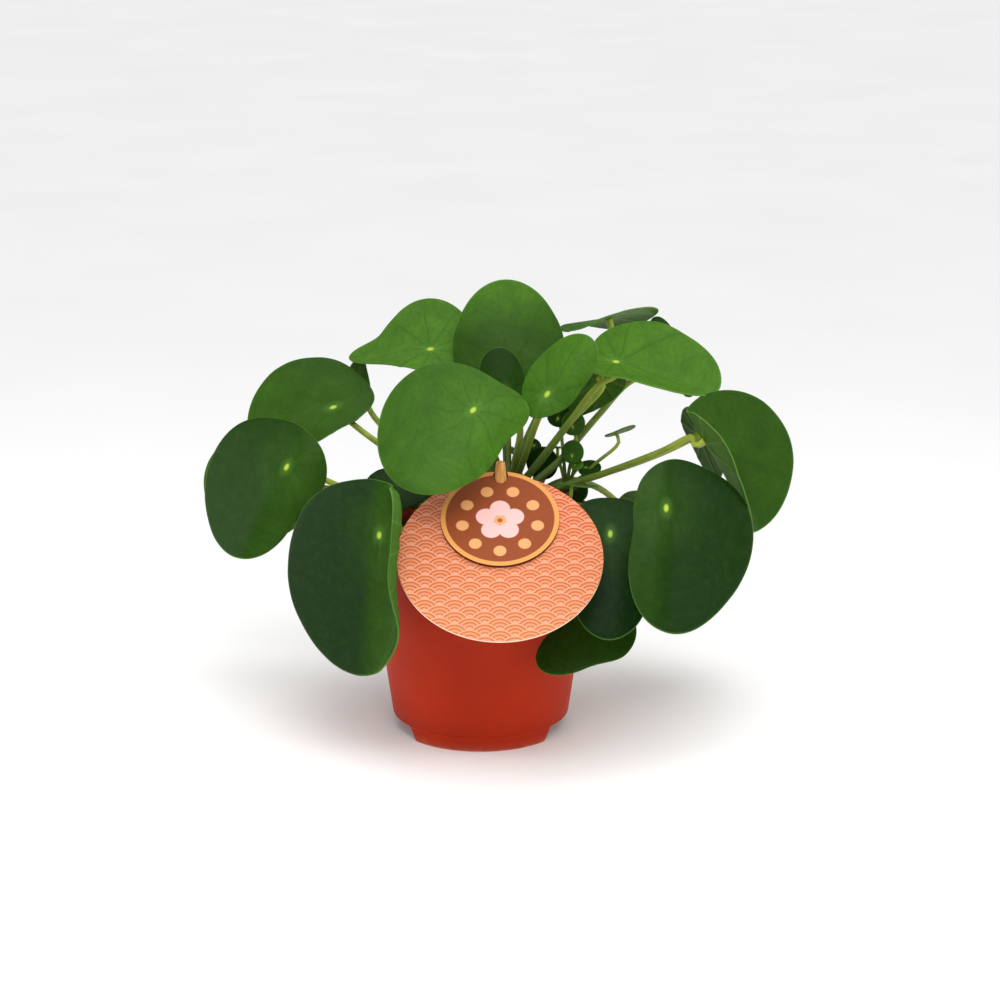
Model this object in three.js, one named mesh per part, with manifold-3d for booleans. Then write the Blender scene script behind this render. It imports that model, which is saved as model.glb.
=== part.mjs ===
// A chinese money plant in a plastic nursery pot, with a card tag pinned over the rim by a peg.
// Millimetres, +Z up, the front of the plant toward -Y. The origin is under the pot, on its axis.
import * as THREE from "three";
import { mergeVertices } from "three/addons/utils/BufferGeometryUtils.js";
import Module from "manifold-3d";

// ---- driving dimensions ----
const GAP = 0.3; // clearance between neighbouring pieces
const POT_HEIGHT = 112;
const RIM_RADIUS = 60; // the 12 cm nursery size
const RIM_DEPTH = 12; // height of the collar under the rim
const COLLAR_STEP = 1.6; // how far the collar stands out from the wall
const WALL = 1.4;
const FOOT_HEIGHT = 8;
const FOOT_RADIUS = 44.2; // at the table
const BASE_RADIUS = 45.5; // outside of the wall where the foot begins
const PLATE = 1.6; // thickness of the raised bottom plate
const ARCH_START = 51; // degrees from the front where the side arch opens
const ARCH_END = 129;
const DRAIN_RADIUS = 3.4;
const DRAIN_RING = 33; // radius of the ring of drain holes
const DRAINS = 8;
const SOIL_TOP = 98;
const SOIL_LUMP = 1.3; // height of the lumps on the soil
const TAG_RADIUS = 50;
const TAG_THICK = 1.2;
const TAG_TILT = 36; // degrees from level
const TAG_AT = [10, -66.5, 109.4]; // centre of the tag disc
const COIN_RADIUS = 29;
const COIN_THICK = 1.6;
const COIN_UP = 22; // the coin disc's centre above the tag's, along the slope
const PEG_AT = [10.3, -29.5]; // where the peg stands
const PEG_RADIUS = 3.3;
const PEG_TIP_RADIUS = 2.2;
const PEG_TOP = 147.5;
const PEG_TAPER = 11; // length of the tapered top
const PEG_DEEP = 42; // how far it is pushed into the soil
const STEM_AT = [14, 3]; // where the plant's stem stands
const STEM_RADIUS = 5.2;
const STEM_TOP = 121;
const STEM_DEEP = 14; // how far the stem is in the soil
const BLADE_THICK = 0.9;
const DIP = 0.8; // depth of the dimple where the stalk joins
const DIP_SPREAD = 30; // square millimetres
const WAVE = 0.8; // height of the wave round a margin
const POINT_WIDTH = 0.28; // of a drawn-out tip, in eighths of a turn
const STALK_BASE_RADIUS = 2.1;
const STALK_TIP_RADIUS = 1.4;
const STALK_SIDES = 6;
const STALK_STEPS = 8;
const STALK_LIFT = 8; // how far a stalk that passes no point arches up
const STALK_REACH = 16; // length of its last stretch, square to the blade
const STALK_CLEAR = 0.4; // between the stalk's end and the dimple
const SECTORS = 20; // of a blade's outline
const RINGS = [0.34, 0.65, 0.86, 1]; // rings of a blade, as shares of its outline
const BEND_STEPS = 10;
const FOLD_ROUND = 5; // distance over which a fold at the midrib sets in
const WIDTH_STEPS = 36; // steps round half an outline when its width is looked up
const NARROWEST_BEND = 8; // the least half-width that a margin's bend is spread over

const RAD = Math.PI / 180;
const UP = new THREE.Vector3(0, 0, 1);
const vec = (p) => new THREE.Vector3(...p);

const wasm = await Module();
wasm.setup();
const { Manifold, Mesh, CrossSection } = wasm;

// ---- solids and meshes ----
function solidOf(vertices, triangles) {
  const vertProperties = Float32Array.from(vertices.flat());
  return new Manifold(
    new Mesh({ numProp: 3, vertProperties, triVerts: Uint32Array.from(triangles.flat()) }),
  );
}

function lathe(profile, sides) {
  const points = profile.map(([r, z]) => new THREE.Vector2(r, z));
  const g = new THREE.LatheGeometry(points, sides);
  g.rotateX(Math.PI / 2);
  g.deleteAttribute("normal");
  g.deleteAttribute("uv");
  const m = mergeVertices(g, 1e-4);
  const solid = new Manifold(
    new Mesh({
      numProp: 3,
      vertProperties: m.attributes.position.array,
      triVerts: Uint32Array.from(m.index.array),
    }),
  );
  return solid;
}

const rod = (x, y, low, high, r0, r1 = r0, sides = 16) =>
  Manifold.cylinder(high - low, r0, r1, sides).translate([x, y, low]);

const group = new THREE.Group();
group.name = "potted_chinese_money_plant";

function addPiece(name, solid, color, roughness) {
  const m = solid.getMesh();
  const n = m.numProp;
  const points = new Float32Array(m.numVert * 3);
  for (let i = 0; i < m.numVert; i++)
    points.set(m.vertProperties.subarray(i * n, i * n + 3), i * 3);
  const g = new THREE.BufferGeometry();
  g.setAttribute("position", new THREE.BufferAttribute(points, 3));
  g.setIndex(new THREE.BufferAttribute(m.triVerts, 1));
  g.computeVertexNormals();
  const material = new THREE.MeshStandardMaterial({ color, roughness, metalness: 0 });
  const mesh = new THREE.Mesh(g, material);
  mesh.name = name;
  group.add(mesh);
}

// A seeded draw, so that the part comes out alike each time.
let seed = 7;
function draw() {
  seed = (seed * 16807) % 2147483647;
  return seed / 2147483647;
}

// ---- pot ----
const wallAt = (z) =>
  BASE_RADIUS + ((RIM_RADIUS - COLLAR_STEP - BASE_RADIUS) * (z - FOOT_HEIGHT)) /
  (POT_HEIGHT - RIM_DEPTH - FOOT_HEIGHT);
const collarLow = POT_HEIGHT - RIM_DEPTH;
const innerTop = RIM_RADIUS - WALL - 0.4;
let pot = lathe(
  [
    [0, FOOT_HEIGHT],
    [FOOT_RADIUS - WALL, FOOT_HEIGHT],
    [FOOT_RADIUS - WALL, 0],
    [FOOT_RADIUS, 0],
    [BASE_RADIUS, FOOT_HEIGHT],
    [wallAt(collarLow), collarLow],
    [RIM_RADIUS - 0.3, collarLow + 1.2],
    [RIM_RADIUS, POT_HEIGHT - 0.8],
    [RIM_RADIUS - 0.7, POT_HEIGHT],
    [innerTop, POT_HEIGHT],
    [wallAt(collarLow) - WALL, collarLow],
    [BASE_RADIUS - WALL, FOOT_HEIGHT + PLATE],
    [0, FOOT_HEIGHT + PLATE],
    [0, FOOT_HEIGHT],
  ],
  52,
);
// The side arches: the foot is open between the front and the back segment.
function archCutter(side) {
  const far = 70;
  const points = [[0, 0]];
  for (let a = ARCH_START; a <= ARCH_END; a += 6)
    points.push([side * far * Math.sin(a * RAD), -far * Math.cos(a * RAD)]);
  if (side < 0) points.reverse();
  const fan = new CrossSection([points]);
  return fan.extrude(FOOT_HEIGHT + 1).translate([0, 0, -1]);
}
for (const side of [-1, 1]) pot = pot.subtract(archCutter(side));
for (let i = 0; i < DRAINS; i++) {
  const a = (i + 0.5) * (360 / DRAINS) * RAD;
  const hole = rod(DRAIN_RING * Math.cos(a), DRAIN_RING * Math.sin(a), 4, 14, DRAIN_RADIUS);
  pot = pot.subtract(hole);
}
addPiece("pot", pot, 0xa83c22, 0.55);

// ---- blades ----
// One row for each large blade. at: the point where the stalk joins it. tip: from there to the
// blade's tip. face: azimuth and elevation of the upper side, in degrees. rim: distance from the
// joint to the margin every 45 degrees, from the tip round by the right. fold: how far both halves
// drop at the midrib, in degrees. left, right, end, root: how far each side bends down toward its
// margin, in degrees. hug: 1 bends all the way, more keeps the bend for the margin. fade: the share
// of that bend that is lost, and the two distances ahead of the joint between which it goes. twist:
// degrees over the length. point: length of a drawn-out tip. arm: points that the stalk passes.
// reach: length of the stalk's last stretch. rootZ: height on the stem where the stalk leaves it.
const BLADES = {
  left_low: { at: [-97, -12, 140], tip: [-24, -13, -44], face: [-112, 24],
    rim: [51.5, 53, 46.5, 28, 21, 20, 21.5, 24], left: 36, right: 4, end: 8, root: 10, rootZ: 112,
    reach: 6, fold: 14, arm: [[-31, 0, 116], [-63, -2, 123.6], [-80, -5, 132]] },
  left_mid: { at: [-76, 32, 160], tip: [-45, -1, -13], face: [-110, 52],
    rim: [47, 43, 32, 23, 22, 18, 19, 32], fold: -12, left: 8, right: 5, end: 12, root: 10,
    rootZ: 115, reach: 5, arm: [[-21, 8, 126], [-56, 20, 146.6], [-68, 27, 154]] },
  left_top: { at: [-26, 44, 188], tip: [-43, 2, -4], face: [-105, 54],
    rim: [28, 28, 32, 27, 24, 18, 18, 18], fold: -12, left: 10, right: 5, end: 5, root: 10,
    point: 15, rootZ: 119 },
  left_hidden: { at: [-68, 58, 158], tip: [4, 6, 20], face: [125, 20],
    rim: [19, 13, 11, 11, 12, 11, 11, 13], left: 15, right: 15, end: 10, root: 10, point: 4,
    rootZ: 116, arm: [[-26, 24, 131], [-54, 46, 149]], reach: 8 },
  left_under: { at: [-104, 38, 118], tip: [-18, -8, -42], face: [-108, 12],
    rim: [26, 27, 27, 25, 22, 20, 20, 22], left: 10, right: 15, end: 10, root: 10, rootZ: 109,
    reach: 8, arm: [[-31, 16, 114], [-56, 28, 115.5], [-80, 44, 113]] },
  left_shade: { at: [-38, -8, 131], tip: [-22, -3, -5], face: [-100, 55],
    rim: [22, 18, 12, 12, 14, 15, 16, 19], left: 15, right: 15, end: 10, root: 10, rootZ: 111,
    reach: 7 },
  front_left: { at: [-48, -74, 123], tip: [-6, -4, -70], face: [-108, 5],
    rim: [71, 70, 50.5, 31.5, 26, 25.5, 20, 28], fold: 17, left: -170, right: 8, end: 5, root: 15,
    hug: 1.6, fade: [0.45, 15, 52], rootZ: 108, arm: [[-18, -15, 119], [-38, -46, 117]] },
  centre_big: { at: [-3, -46, 178], tip: [-36, -23, -31], face: [-88, 34],
    rim: [52, 45, 34, 23, 20, 28, 22.5, 35], left: 25, right: 10, end: 12, root: 10, rootZ: 118 },
  centre_top: { at: [15, 26, 181.2], tip: [-3, 11, 45], face: [-90, 14],
    rim: [47, 36, 27, 18, 15, 18, 27, 36], left: 10, right: 10, end: 18, root: 10, rootZ: 120,
    reach: 7, arm: [[14, 22, 142], [14, 34, 164]] },
  centre_young: { at: [13, -6, 177], tip: [-5, 5, 22], face: [-85, 12],
    rim: [23, 15, 10, 8, 8, 8, 10, 16], left: 15, right: 15, end: 5, root: 5, reach: 7, rootZ: 119,
    arm: [[18, -1, 142], [20, -2, 158]] },
  centre_bright: { at: [33, -30, 182], tip: [22, 4, 27], face: [-108, 22],
    rim: [35, 17, 12, 11, 14, 13, 15, 22], left: 15, right: 50, end: 5, root: 5, rootZ: 121,
    reach: 6, arm: [[20, -2, 136], [29, -16, 166]] },
  centre_turned: { at: [61, 26, 177], tip: [-24, 4, -18], face: [60, 40],
    rim: [30, 20, 15, 14, 14, 14, 15, 20], left: 10, right: 10, end: 10, root: 10, rootZ: 120,
    reach: 8, arm: [[30, 4, 138], [46, 10, 158]] },
  right_top: { at: [68, 2, 191], tip: [49, -28, -4], face: [-112, 62],
    rim: [56, 28, 20, 16, 16, 22, 25, 36], fold: -18, left: 5, right: -10, end: 12, root: 10,
    rootZ: 119, reach: 7, arm: [[25.5, 3, 133], [46, 5, 160], [59.3, 6, 177.5]] },
  right_edge: { at: [66, 46, 204], tip: [26, 0, 5], face: [90, 74],
    rim: [26, 24, 22, 22, 26, 22, 22, 24], left: 20, right: 10, end: 5, root: 5, twist: 14,
    rootZ: 120, arm: [[26, 24, 150], [50, 46, 182]] },
  right_behind: { at: [101.5, 46, 183], tip: [-11, 5, 22], face: [-30, 28],
    rim: [24, 19, 15, 16, 22, 16, 15, 19], left: 15, right: 15, end: 12, root: 10, rootZ: 117,
    reach: 5, arm: [[40, 13, 136], [52.2, 26.0, 147.1], [63.7, 36.0, 157.9], [75.3, 44.0, 168.7]] },
  right_far: { at: [111, -40, 161.4], tip: [28.2, -11.9, -48.4], face: [-22, 25],
    rim: [51, 30, 23.7, 19.8, 17.8, 26.7, 40, 49], fold: -41, left: 0, right: 0, end: 5, root: 10,
    rootZ: 113, reach: 6,
    arm: [[46, 2, 127.5], [59, 0, 132], [89.7, -16.0, 148.8], [104.8, -32.0, 160.7]] },
  right_turned: { at: [112, 14, 150], tip: [12, -4, -26], face: [25, 20],
    rim: [25, 22, 20, 18, 16, 15, 15, 18], left: 10, right: 10, end: 10, root: 10, rootZ: 114,
    arm: [[50, 10, 126], [81, 9, 137]] },
  right_front: { at: [89, -82, 139], tip: [-3, -22, -52], face: [-74, 24],
    rim: [58, 22, 15.5, 18, 23.5, 31, 48.5, 56], fold: 19, left: -8, right: 2, end: 8,
    root: 12, rootZ: 110,
    arm: [[40, -6, 117], [66, -18, 120], [86, -38, 127]] },
  right_dark: { at: [64, -48, 116], tip: [-2, -28, -45], face: [-90, 32],
    rim: [53, 28, 20, 21, 19, 21, 21, 31], left: 10, right: 10, end: 8, root: 12, rootZ: 108,
    reach: 6, arm: [[36, -12, 118], [56, -26, 119]] },
  right_low: { at: [60, -42, 68], tip: [-31, -16, -16], face: [-95, 50],
    rim: [39, 17, 14, 13, 14, 18, 21, 24], left: 15, right: 10, end: 8, root: 10, rootZ: 106,
    reach: 8, arm: [[42, -14, 121], [58, -20, 118], [67, -25, 102], [65, -25, 78]] },
  back_left: { at: [-120.8, 104, 104], tip: [-8, 3, -36], face: [78, 20],
    rim: [38, 35, 32, 26, 22, 25, 30, 35], left: 15, right: 15, end: 10, root: 10, rootZ: 112,
    arm: [[-28, 26, 117], [-46, 42, 115], [-72, 58, 106]] },
  back_mid: { at: [-14, 72, 142], tip: [-10, 34, -30], face: [105, 45],
    rim: [44, 38, 31, 25, 22, 25, 31, 38], left: 15, right: 15, end: 12, root: 10, rootZ: 114 },
  back_top: { at: [10, 64, 170], tip: [6, 38, -10], face: [85, 60],
    rim: [40, 36, 30, 25, 22, 25, 30, 36], left: 15, right: 15, end: 15, root: 10, rootZ: 118,
    arm: [[13, 30, 140], [11, 46, 156]] },
  back_low: { at: [-10, 88, 100], tip: [-6, 18, -50], face: [95, 15],
    rim: [50, 44, 33, 26, 22, 26, 33, 44], left: 15, right: 15, end: 8, root: 12, rootZ: 108,
    arm: [[4, 36, 122], [0, 58, 121]], reach: 7 },
  back_right: { at: [98, 62, 92], tip: [22, 22, -44], face: [50, 25],
    rim: [50, 42, 31, 25, 22, 25, 31, 42], left: 15, right: 15, end: 10, root: 10, rootZ: 110,
    reach: 10, arm: [[44, 34, 120], [62, 44, 113]] },
};

// The baby plants. at: where the stem stands. top: its height. Each leaf has a row as above, with
// size: the distance from the joint to the tip. low: how many joints below the stem's top its stalk
// leaves. via: the point that the stalk passes.
const PUPS = {
  pup_right: { at: [44, 16], top: 122, leaves: [
    { at: [39.5, 20, 156.8], tip: [2, 1, 8], face: [-100, 18], size: 8.5 },
    { at: [47, 14, 154], tip: [1, 2, 9], face: [-100, 12], size: 8.5, low: 3, via: [49, 11, 140] },
    { at: [46.5, 6, 141], tip: [1, 1, 7], face: [-96, 14], size: 8 },
    { at: [48, 9, 135.5], tip: [4, -2, 1], face: [-60, 35], size: 4.5, low: 1 },
    { at: [54, 18, 131.8], tip: [8, -1, 0], face: [-92, 60], size: 8, low: 2 },
    { at: [69, 22, 149.5], tip: [10, -2, 4.5], face: [90, 74], size: 11, low: 3 },
    { at: [46, -12, 131.5], tip: [13, 0, -1], face: [90, 74], size: 14, low: 3 },
    { at: [49, 22, 120], tip: [4, -2, -6], face: [-80, 22], size: 8, low: 3 },
    { at: [40, 36, 138], tip: [-2, 8, -2], face: [100, 50], size: 11, low: 1 },
  ] },
  pup_centre: { at: [28, 28], top: 112, leaves: [
    { at: [27.5, 30, 140], tip: [-5, -2, -3], face: [-100, 30], size: 7 },
    { at: [31, 26, 134], tip: [3, -1, -8], face: [-98, 18], size: 11.5, low: 1 },
    { at: [20, 38, 134], tip: [-5, 6, 2], face: [110, 50], size: 10, low: 2 },
    { at: [34, 40, 128], tip: [6, 7, -1], face: [60, 45], size: 9, low: 3 },
  ] },
  pup_back: { at: [-22, 30], top: 112, leaves: [
    { at: [-36, 29, 131], tip: [-8, 3, 2], face: [-170, 50], size: 11 },
    { at: [-18, 42, 138], tip: [3, 9, 3], face: [80, 45], size: 12, low: 1 },
    { at: [-28, 48, 126], tip: [-4, 9, -4], face: [110, 35], size: 11, low: 2 },
    { at: [-36, 21, 120], tip: [-8, -4, -2], face: [-150, 50], size: 10, low: 3 },
    { at: [-12, 32, 126], tip: [7, 4, -1], face: [40, 60], size: 8 },
  ] },
};
const PUP_STEM_RADIUS = 2.2;
const PUP_STALK_RADIUS = 0.9;
const PUP_BLADE_THICK = 0.8;
const PUP_SECTORS = 9;
const PUP_RINGS = [0.55, 1];
const PUP_JOINT = 1.5; // distance between two joints down a pup's stem
const PUP_BEND = 14; // degrees that a small leaf bends down to its sides
const PUP_DROP = 8; // and to its tip and root
const lerp = (a, b, t) => a + (b - a) * t;
function smoothstep(from, to, x) {
  const t = Math.min(1, Math.max(0, (x - from) / (to - from)));
  return t * t * (3 - 2 * t);
}

// Distance along and below the blade's plane after a fold at the midrib, rounded over its first
// millimetres, and a bend that grows with the distance s.
function bent(s, reach, fold, bend, hug) {
  let along = 0;
  let below = 0;
  const step = s / BEND_STEPS;
  for (let i = 0; i < BEND_STEPS; i++) {
    const d = (i + 0.5) * step;
    const angle = (fold * Math.min(1, d / FOLD_ROUND) + bend * (d / reach) ** hug) * RAD;
    along += step * Math.cos(angle);
    below += step * Math.sin(angle);
  }
  return [along, below];
}

// Half the width of the flat blade at v, on the side with this sign.
function halfWidth(row, side, v) {
  let last = [0, margin(row, 0)];
  for (let k = 1; k <= WIDTH_STEPS; k++) {
    const a = (k * Math.PI) / WIDTH_STEPS;
    const r = margin(row, side * a);
    const next = [r * Math.sin(a), r * Math.cos(a)];
    if (next[1] <= v) {
      const share = (last[1] - v) / (last[1] - next[1]);
      return Math.max(NARROWEST_BEND, lerp(last[0], next[0], share));
    }
    last = next;
  }
  return NARROWEST_BEND;
}

function bladeFrame(row) {
  const tip = vec(row.tip);
  const t = tip.clone().normalize();
  const [az, el] = row.face.map((a) => a * RAD);
  const n = new THREE.Vector3(
    Math.cos(el) * Math.cos(az), Math.cos(el) * Math.sin(az), Math.sin(el));
  n.addScaledVector(t, -n.dot(t)).normalize();
  const s = new THREE.Vector3().crossVectors(t, n);
  return { at: vec(row.at), t, n, s, front: tip.length() };
}

// A point of the blade's middle surface: u to its right, v toward its tip.
function bladePoint(row, frame, u, v) {
  const half = u < 0 ? row.rim[6] : row.rim[2];
  const [lost, from, to] = row.fade ?? [0, 0, 1];
  const side = (u < 0 ? row.left : row.right) * (1 - lost * smoothstep(from, to, v));
  const reach = row.hug ? halfWidth(row, u < 0 ? -1 : 1, v) : half;
  const [x, dropX] = bent(Math.abs(u), reach, row.fold ?? 0, side, row.hug ?? 1);
  const [y, dropY] = v > 0
    ? bent(v, frame.front, 0, row.end, 1)
    : bent(-v, row.rim[4], 0, row.root, 1);
  const turn = ((row.twist ?? 0) * RAD * v) / frame.front;
  const px = Math.sign(u) * x;
  const dip = DIP * Math.exp(-(u * u + v * v) / DIP_SPREAD);
  const wave = (row.wave ?? WAVE) * ((u / half) ** 2 + (v / frame.front) ** 2) *
    Math.sin(3 * Math.atan2(u, v) + row.at[0]);
  const pz = -dropX - dropY - dip + wave;
  return frame.at.clone()
    .addScaledVector(frame.s, px * Math.cos(turn) - pz * Math.sin(turn))
    .addScaledVector(frame.t, Math.sign(v) * y)
    .addScaledVector(frame.n, px * Math.sin(turn) + pz * Math.cos(turn));
}

// Distance from the joint to the margin at the angle a from the tip, toward the right.
function margin(row, a) {
  const at = ((a / (2 * Math.PI)) * 8 + 8) % 8;
  const i = Math.floor(at);
  const t = at - i;
  const [p, q, r, s] = [7, 0, 1, 2].map((k) => row.rim[(i + k) % 8]);
  const bow = 2 * p - 5 * q + 4 * r - s + t * (3 * (q - r) + s - p);
  const smooth = q + 0.5 * t * (r - p + t * bow);
  const off = Math.min(at, 8 - at) / POINT_WIDTH;
  return smooth + (row.point ?? 0) * Math.exp(-off * off);
}

function bladeSolid(row, sectors = SECTORS, rings = RINGS, thick = BLADE_THICK) {
  const frame = bladeFrame(row);
  const flat = [[0, 0]];
  for (const ring of rings)
    for (let i = 0; i < sectors; i++) {
      const a = (i * 2 * Math.PI) / sectors;
      const r = margin(row, a) * ring;
      flat.push([r * Math.sin(a), r * Math.cos(a)]);
    }
  const step = 0.5;
  const upper = [];
  const lower = [];
  for (const [u, v] of flat) {
    const p = bladePoint(row, frame, u, v);
    const du = bladePoint(row, frame, u + step, v).sub(bladePoint(row, frame, u - step, v));
    const dv = bladePoint(row, frame, u, v + step).sub(bladePoint(row, frame, u, v - step));
    const n = du.cross(dv).normalize();
    upper.push(p.clone().addScaledVector(n, thick / 2).toArray());
    lower.push(p.clone().addScaledVector(n, -thick / 2).toArray());
  }
  const count = flat.length;
  const faces = [];
  const quad = (a, b, c, d) => faces.push([a, b, c], [a, c, d]);
  for (let i = 0; i < sectors; i++) {
    const j = (i + 1) % sectors;
    faces.push([0, 1 + j, 1 + i], [count, count + 1 + i, count + 1 + j]);
    for (let r = 0; r + 1 < rings.length; r++) {
      const a = 1 + r * sectors;
      const b = a + sectors;
      quad(a + i, a + j, b + j, b + i);
      quad(count + a + j, count + a + i, count + b + i, count + b + j);
    }
    const e = 1 + (rings.length - 1) * sectors;
    quad(e + i, e + j, count + e + j, count + e + i);
  }
  return solidOf([...upper, ...lower], faces);
}

const LEAF_GREEN = 0x35602a;
for (const [name, row] of Object.entries(BLADES))
  addPiece("blade_" + name, bladeSolid(row), LEAF_GREEN, 0.42);

// ---- stem with its stalks ----
function sweep(curve, r0, r1, sides, steps) {
  const vertices = [];
  const faces = [];
  const frames = curve.computeFrenetFrames(steps, false);
  for (let i = 0; i <= steps; i++) {
    const t = i / steps;
    const p = curve.getPointAt(t);
    const r = lerp(r0, r1, t);
    for (let k = 0; k < sides; k++) {
      const a = (k * 2 * Math.PI) / sides;
      const q = p.clone()
        .addScaledVector(frames.normals[i], r * Math.cos(a))
        .addScaledVector(frames.binormals[i], r * Math.sin(a));
      vertices.push(q.toArray());
    }
  }
  const last = steps * sides;
  for (let k = 0; k < sides; k++) {
    const l = (k + 1) % sides;
    for (let i = 0; i < steps; i++) {
      const a = i * sides;
      const b = a + sides;
      faces.push([a + k, a + l, b + l], [a + k, b + l, b + k]);
    }
    if (k > 0 && k < sides - 1) {
      faces.push([0, k + 1, k], [last, last + k, last + k + 1]);
    }
  }
  return solidOf(vertices, faces);
}

// The stalk of one blade: from the stem up and out, and into the blade from below.
function stalkCurve(row, root) {
  const frame = bladeFrame(row);
  const end = frame.at.clone().addScaledVector(frame.n, -(BLADE_THICK / 2 + DIP + STALK_CLEAR));
  const before = end.clone().addScaledVector(frame.n, -(row.reach ?? STALK_REACH));
  const points = [root];
  if (row.arm) points.push(...row.arm.map(vec));
  else {
    const mid = root.clone().lerp(before, 0.45);
    mid.z += STALK_LIFT;
    points.push(mid);
  }
  points.push(before, end);
  return new THREE.CatmullRomCurve3(points, false, "centripetal");
}
let stem = rod(...STEM_AT, SOIL_TOP - STEM_DEEP, STEM_TOP, STEM_RADIUS, STEM_RADIUS - 1, 10);
for (const row of Object.values(BLADES)) {
  const root = new THREE.Vector3(...STEM_AT, row.rootZ);
  stem = stem.add(
    sweep(stalkCurve(row, root), STALK_BASE_RADIUS, STALK_TIP_RADIUS, STALK_SIDES, STALK_STEPS));
}
addPiece("stem", stem, 0x8a9a3c, 0.5);

// ---- pups ----
// A small leaf's margin, every 45 degrees from the tip, as shares of its size.
const SMALL_RIM = [1, 0.86, 0.7, 0.58, 0.52, 0.58, 0.7, 0.86];
function pupSolid(pup) {
  let solid = rod(...pup.at, SOIL_TOP - STEM_DEEP, pup.top, PUP_STEM_RADIUS, PUP_STEM_RADIUS, 8);
  for (const leaf of pup.leaves) {
    const rim = SMALL_RIM.map((share) => share * leaf.size);
    const bends = { left: PUP_BEND, right: PUP_BEND, end: PUP_DROP, root: PUP_DROP, wave: 0.2 };
    const row = { ...leaf, rim, ...bends };
    const frame = bladeFrame(row);
    const end = frame.at.clone().addScaledVector(frame.n, -PUP_STALK_RADIUS);
    const before = end.clone().addScaledVector(frame.n, -0.4 * leaf.size - 1);
    const root = new THREE.Vector3(...pup.at, pup.top - PUP_JOINT * (1 + (leaf.low ?? 0)));
    const mid = leaf.via ? vec(leaf.via) : root.clone().lerp(before, 0.5).addScaledVector(UP, 2);
    const curve = new THREE.CatmullRomCurve3([root, mid, before, end], false, "centripetal");
    solid = solid
      .add(sweep(curve, PUP_STALK_RADIUS, PUP_STALK_RADIUS, 5, 5))
      .add(bladeSolid(row, PUP_SECTORS, PUP_RINGS, PUP_BLADE_THICK));
  }
  return solid;
}
for (const [name, pup] of Object.entries(PUPS)) addPiece(name, pupSolid(pup), 0x55803a, 0.45);

// ---- soil ----
const soilLow = FOOT_HEIGHT + PLATE + GAP;
let soil = lathe(
  [
    [0, soilLow],
    [wallAt(soilLow) - WALL - GAP - 0.3, soilLow],
    [wallAt(SOIL_TOP - 4) - WALL - GAP - 0.3, SOIL_TOP - 4],
    [0, SOIL_TOP - 4],
    [0, soilLow],
  ],
  40,
);
function soilCrust() {
  const rings = 6;
  const sectors = 26;
  const reach = wallAt(SOIL_TOP) - WALL - GAP - 1.2;
  const top = [[0, 0, SOIL_TOP]];
  for (let r = 1; r <= rings; r++)
    for (let i = 0; i < sectors; i++) {
      const a = ((i + 0.5 * (r % 2)) * 2 * Math.PI) / sectors;
      const d = (reach * r) / rings;
      const z = SOIL_TOP + (r === rings ? -1 : 0) + SOIL_LUMP * (2 * draw() - 1);
      top.push([d * Math.cos(a), d * Math.sin(a), z]);
    }
  const low = top.map(([x, y]) => [x, y, SOIL_TOP - 5]);
  const n = top.length;
  const faces = [];
  for (let i = 0; i < sectors; i++) {
    const j = (i + 1) % sectors;
    faces.push([0, 1 + i, 1 + j], [n, n + 1 + j, n + 1 + i]);
    for (let r = 0; r + 1 < rings; r++) {
      const a = 1 + r * sectors;
      const b = a + sectors;
      faces.push([a + i, b + i, b + j], [a + i, b + j, a + j]);
      faces.push([n + a + i, n + b + j, n + b + i], [n + a + i, n + a + j, n + b + j]);
    }
    const e = 1 + (rings - 1) * sectors;
    faces.push([e + i, n + e + i, n + e + j], [e + i, n + e + j, e + j]);
  }
  return solidOf([...top, ...low], faces);
}
soil = soil.add(soilCrust());
soil = soil.subtract(
  rod(...STEM_AT, SOIL_TOP - STEM_DEEP - GAP, SOIL_TOP + 9, STEM_RADIUS + GAP, STEM_RADIUS + GAP,
    12));
for (const pup of Object.values(PUPS)) {
  const hole = PUP_STEM_RADIUS + GAP;
  soil = soil.subtract(rod(...pup.at, SOIL_TOP - STEM_DEEP - GAP, SOIL_TOP + 9, hole, hole, 10));
}
soil = soil.subtract(
  rod(...PEG_AT, SOIL_TOP - PEG_DEEP - GAP, SOIL_TOP + 9, PEG_RADIUS + GAP, PEG_RADIUS + GAP, 14));
addPiece("soil", soil, 0x3a2a20, 0.95);

// ---- tag, coin disc and peg ----
const pegHole = rod(...PEG_AT, SOIL_TOP, PEG_TOP + 9, PEG_RADIUS + 0.4, PEG_RADIUS + 0.4, 20);
function tiltedDisc(radius, thick, along, lift) {
  const sides = 48;
  const disc = Manifold.cylinder(thick, radius, radius, sides).translate([0, along, lift]);
  return disc.rotate([TAG_TILT, 0, 0]).translate(TAG_AT);
}
addPiece("tag_disc", tiltedDisc(TAG_RADIUS, TAG_THICK, 0, 0).subtract(pegHole), 0xf0a67e, 0.6);
addPiece("coin_disc",
  tiltedDisc(COIN_RADIUS, COIN_THICK, COIN_UP, TAG_THICK + GAP).subtract(pegHole), 0xa8552e, 0.6);
const pegShoulder = PEG_TOP - PEG_TAPER;
const peg = rod(...PEG_AT, SOIL_TOP - PEG_DEEP, pegShoulder, PEG_RADIUS, PEG_RADIUS, 20)
  .add(rod(...PEG_AT, pegShoulder, PEG_TOP, PEG_RADIUS, PEG_TIP_RADIUS, 20));
addPiece("peg", peg, 0xd9a566, 0.7);

export default group;
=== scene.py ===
# A chinese money plant in a 12 cm nursery pot, with a printed card tag pinned over the rim.
# Front toward -Y, +Z up. Sizes are given in millimetres and become metres with MM.
from math import atan2, cos, exp, hypot, pi, radians, sin, sqrt
import bpy
import bmesh
from mathutils import Matrix, Vector, noise


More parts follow.
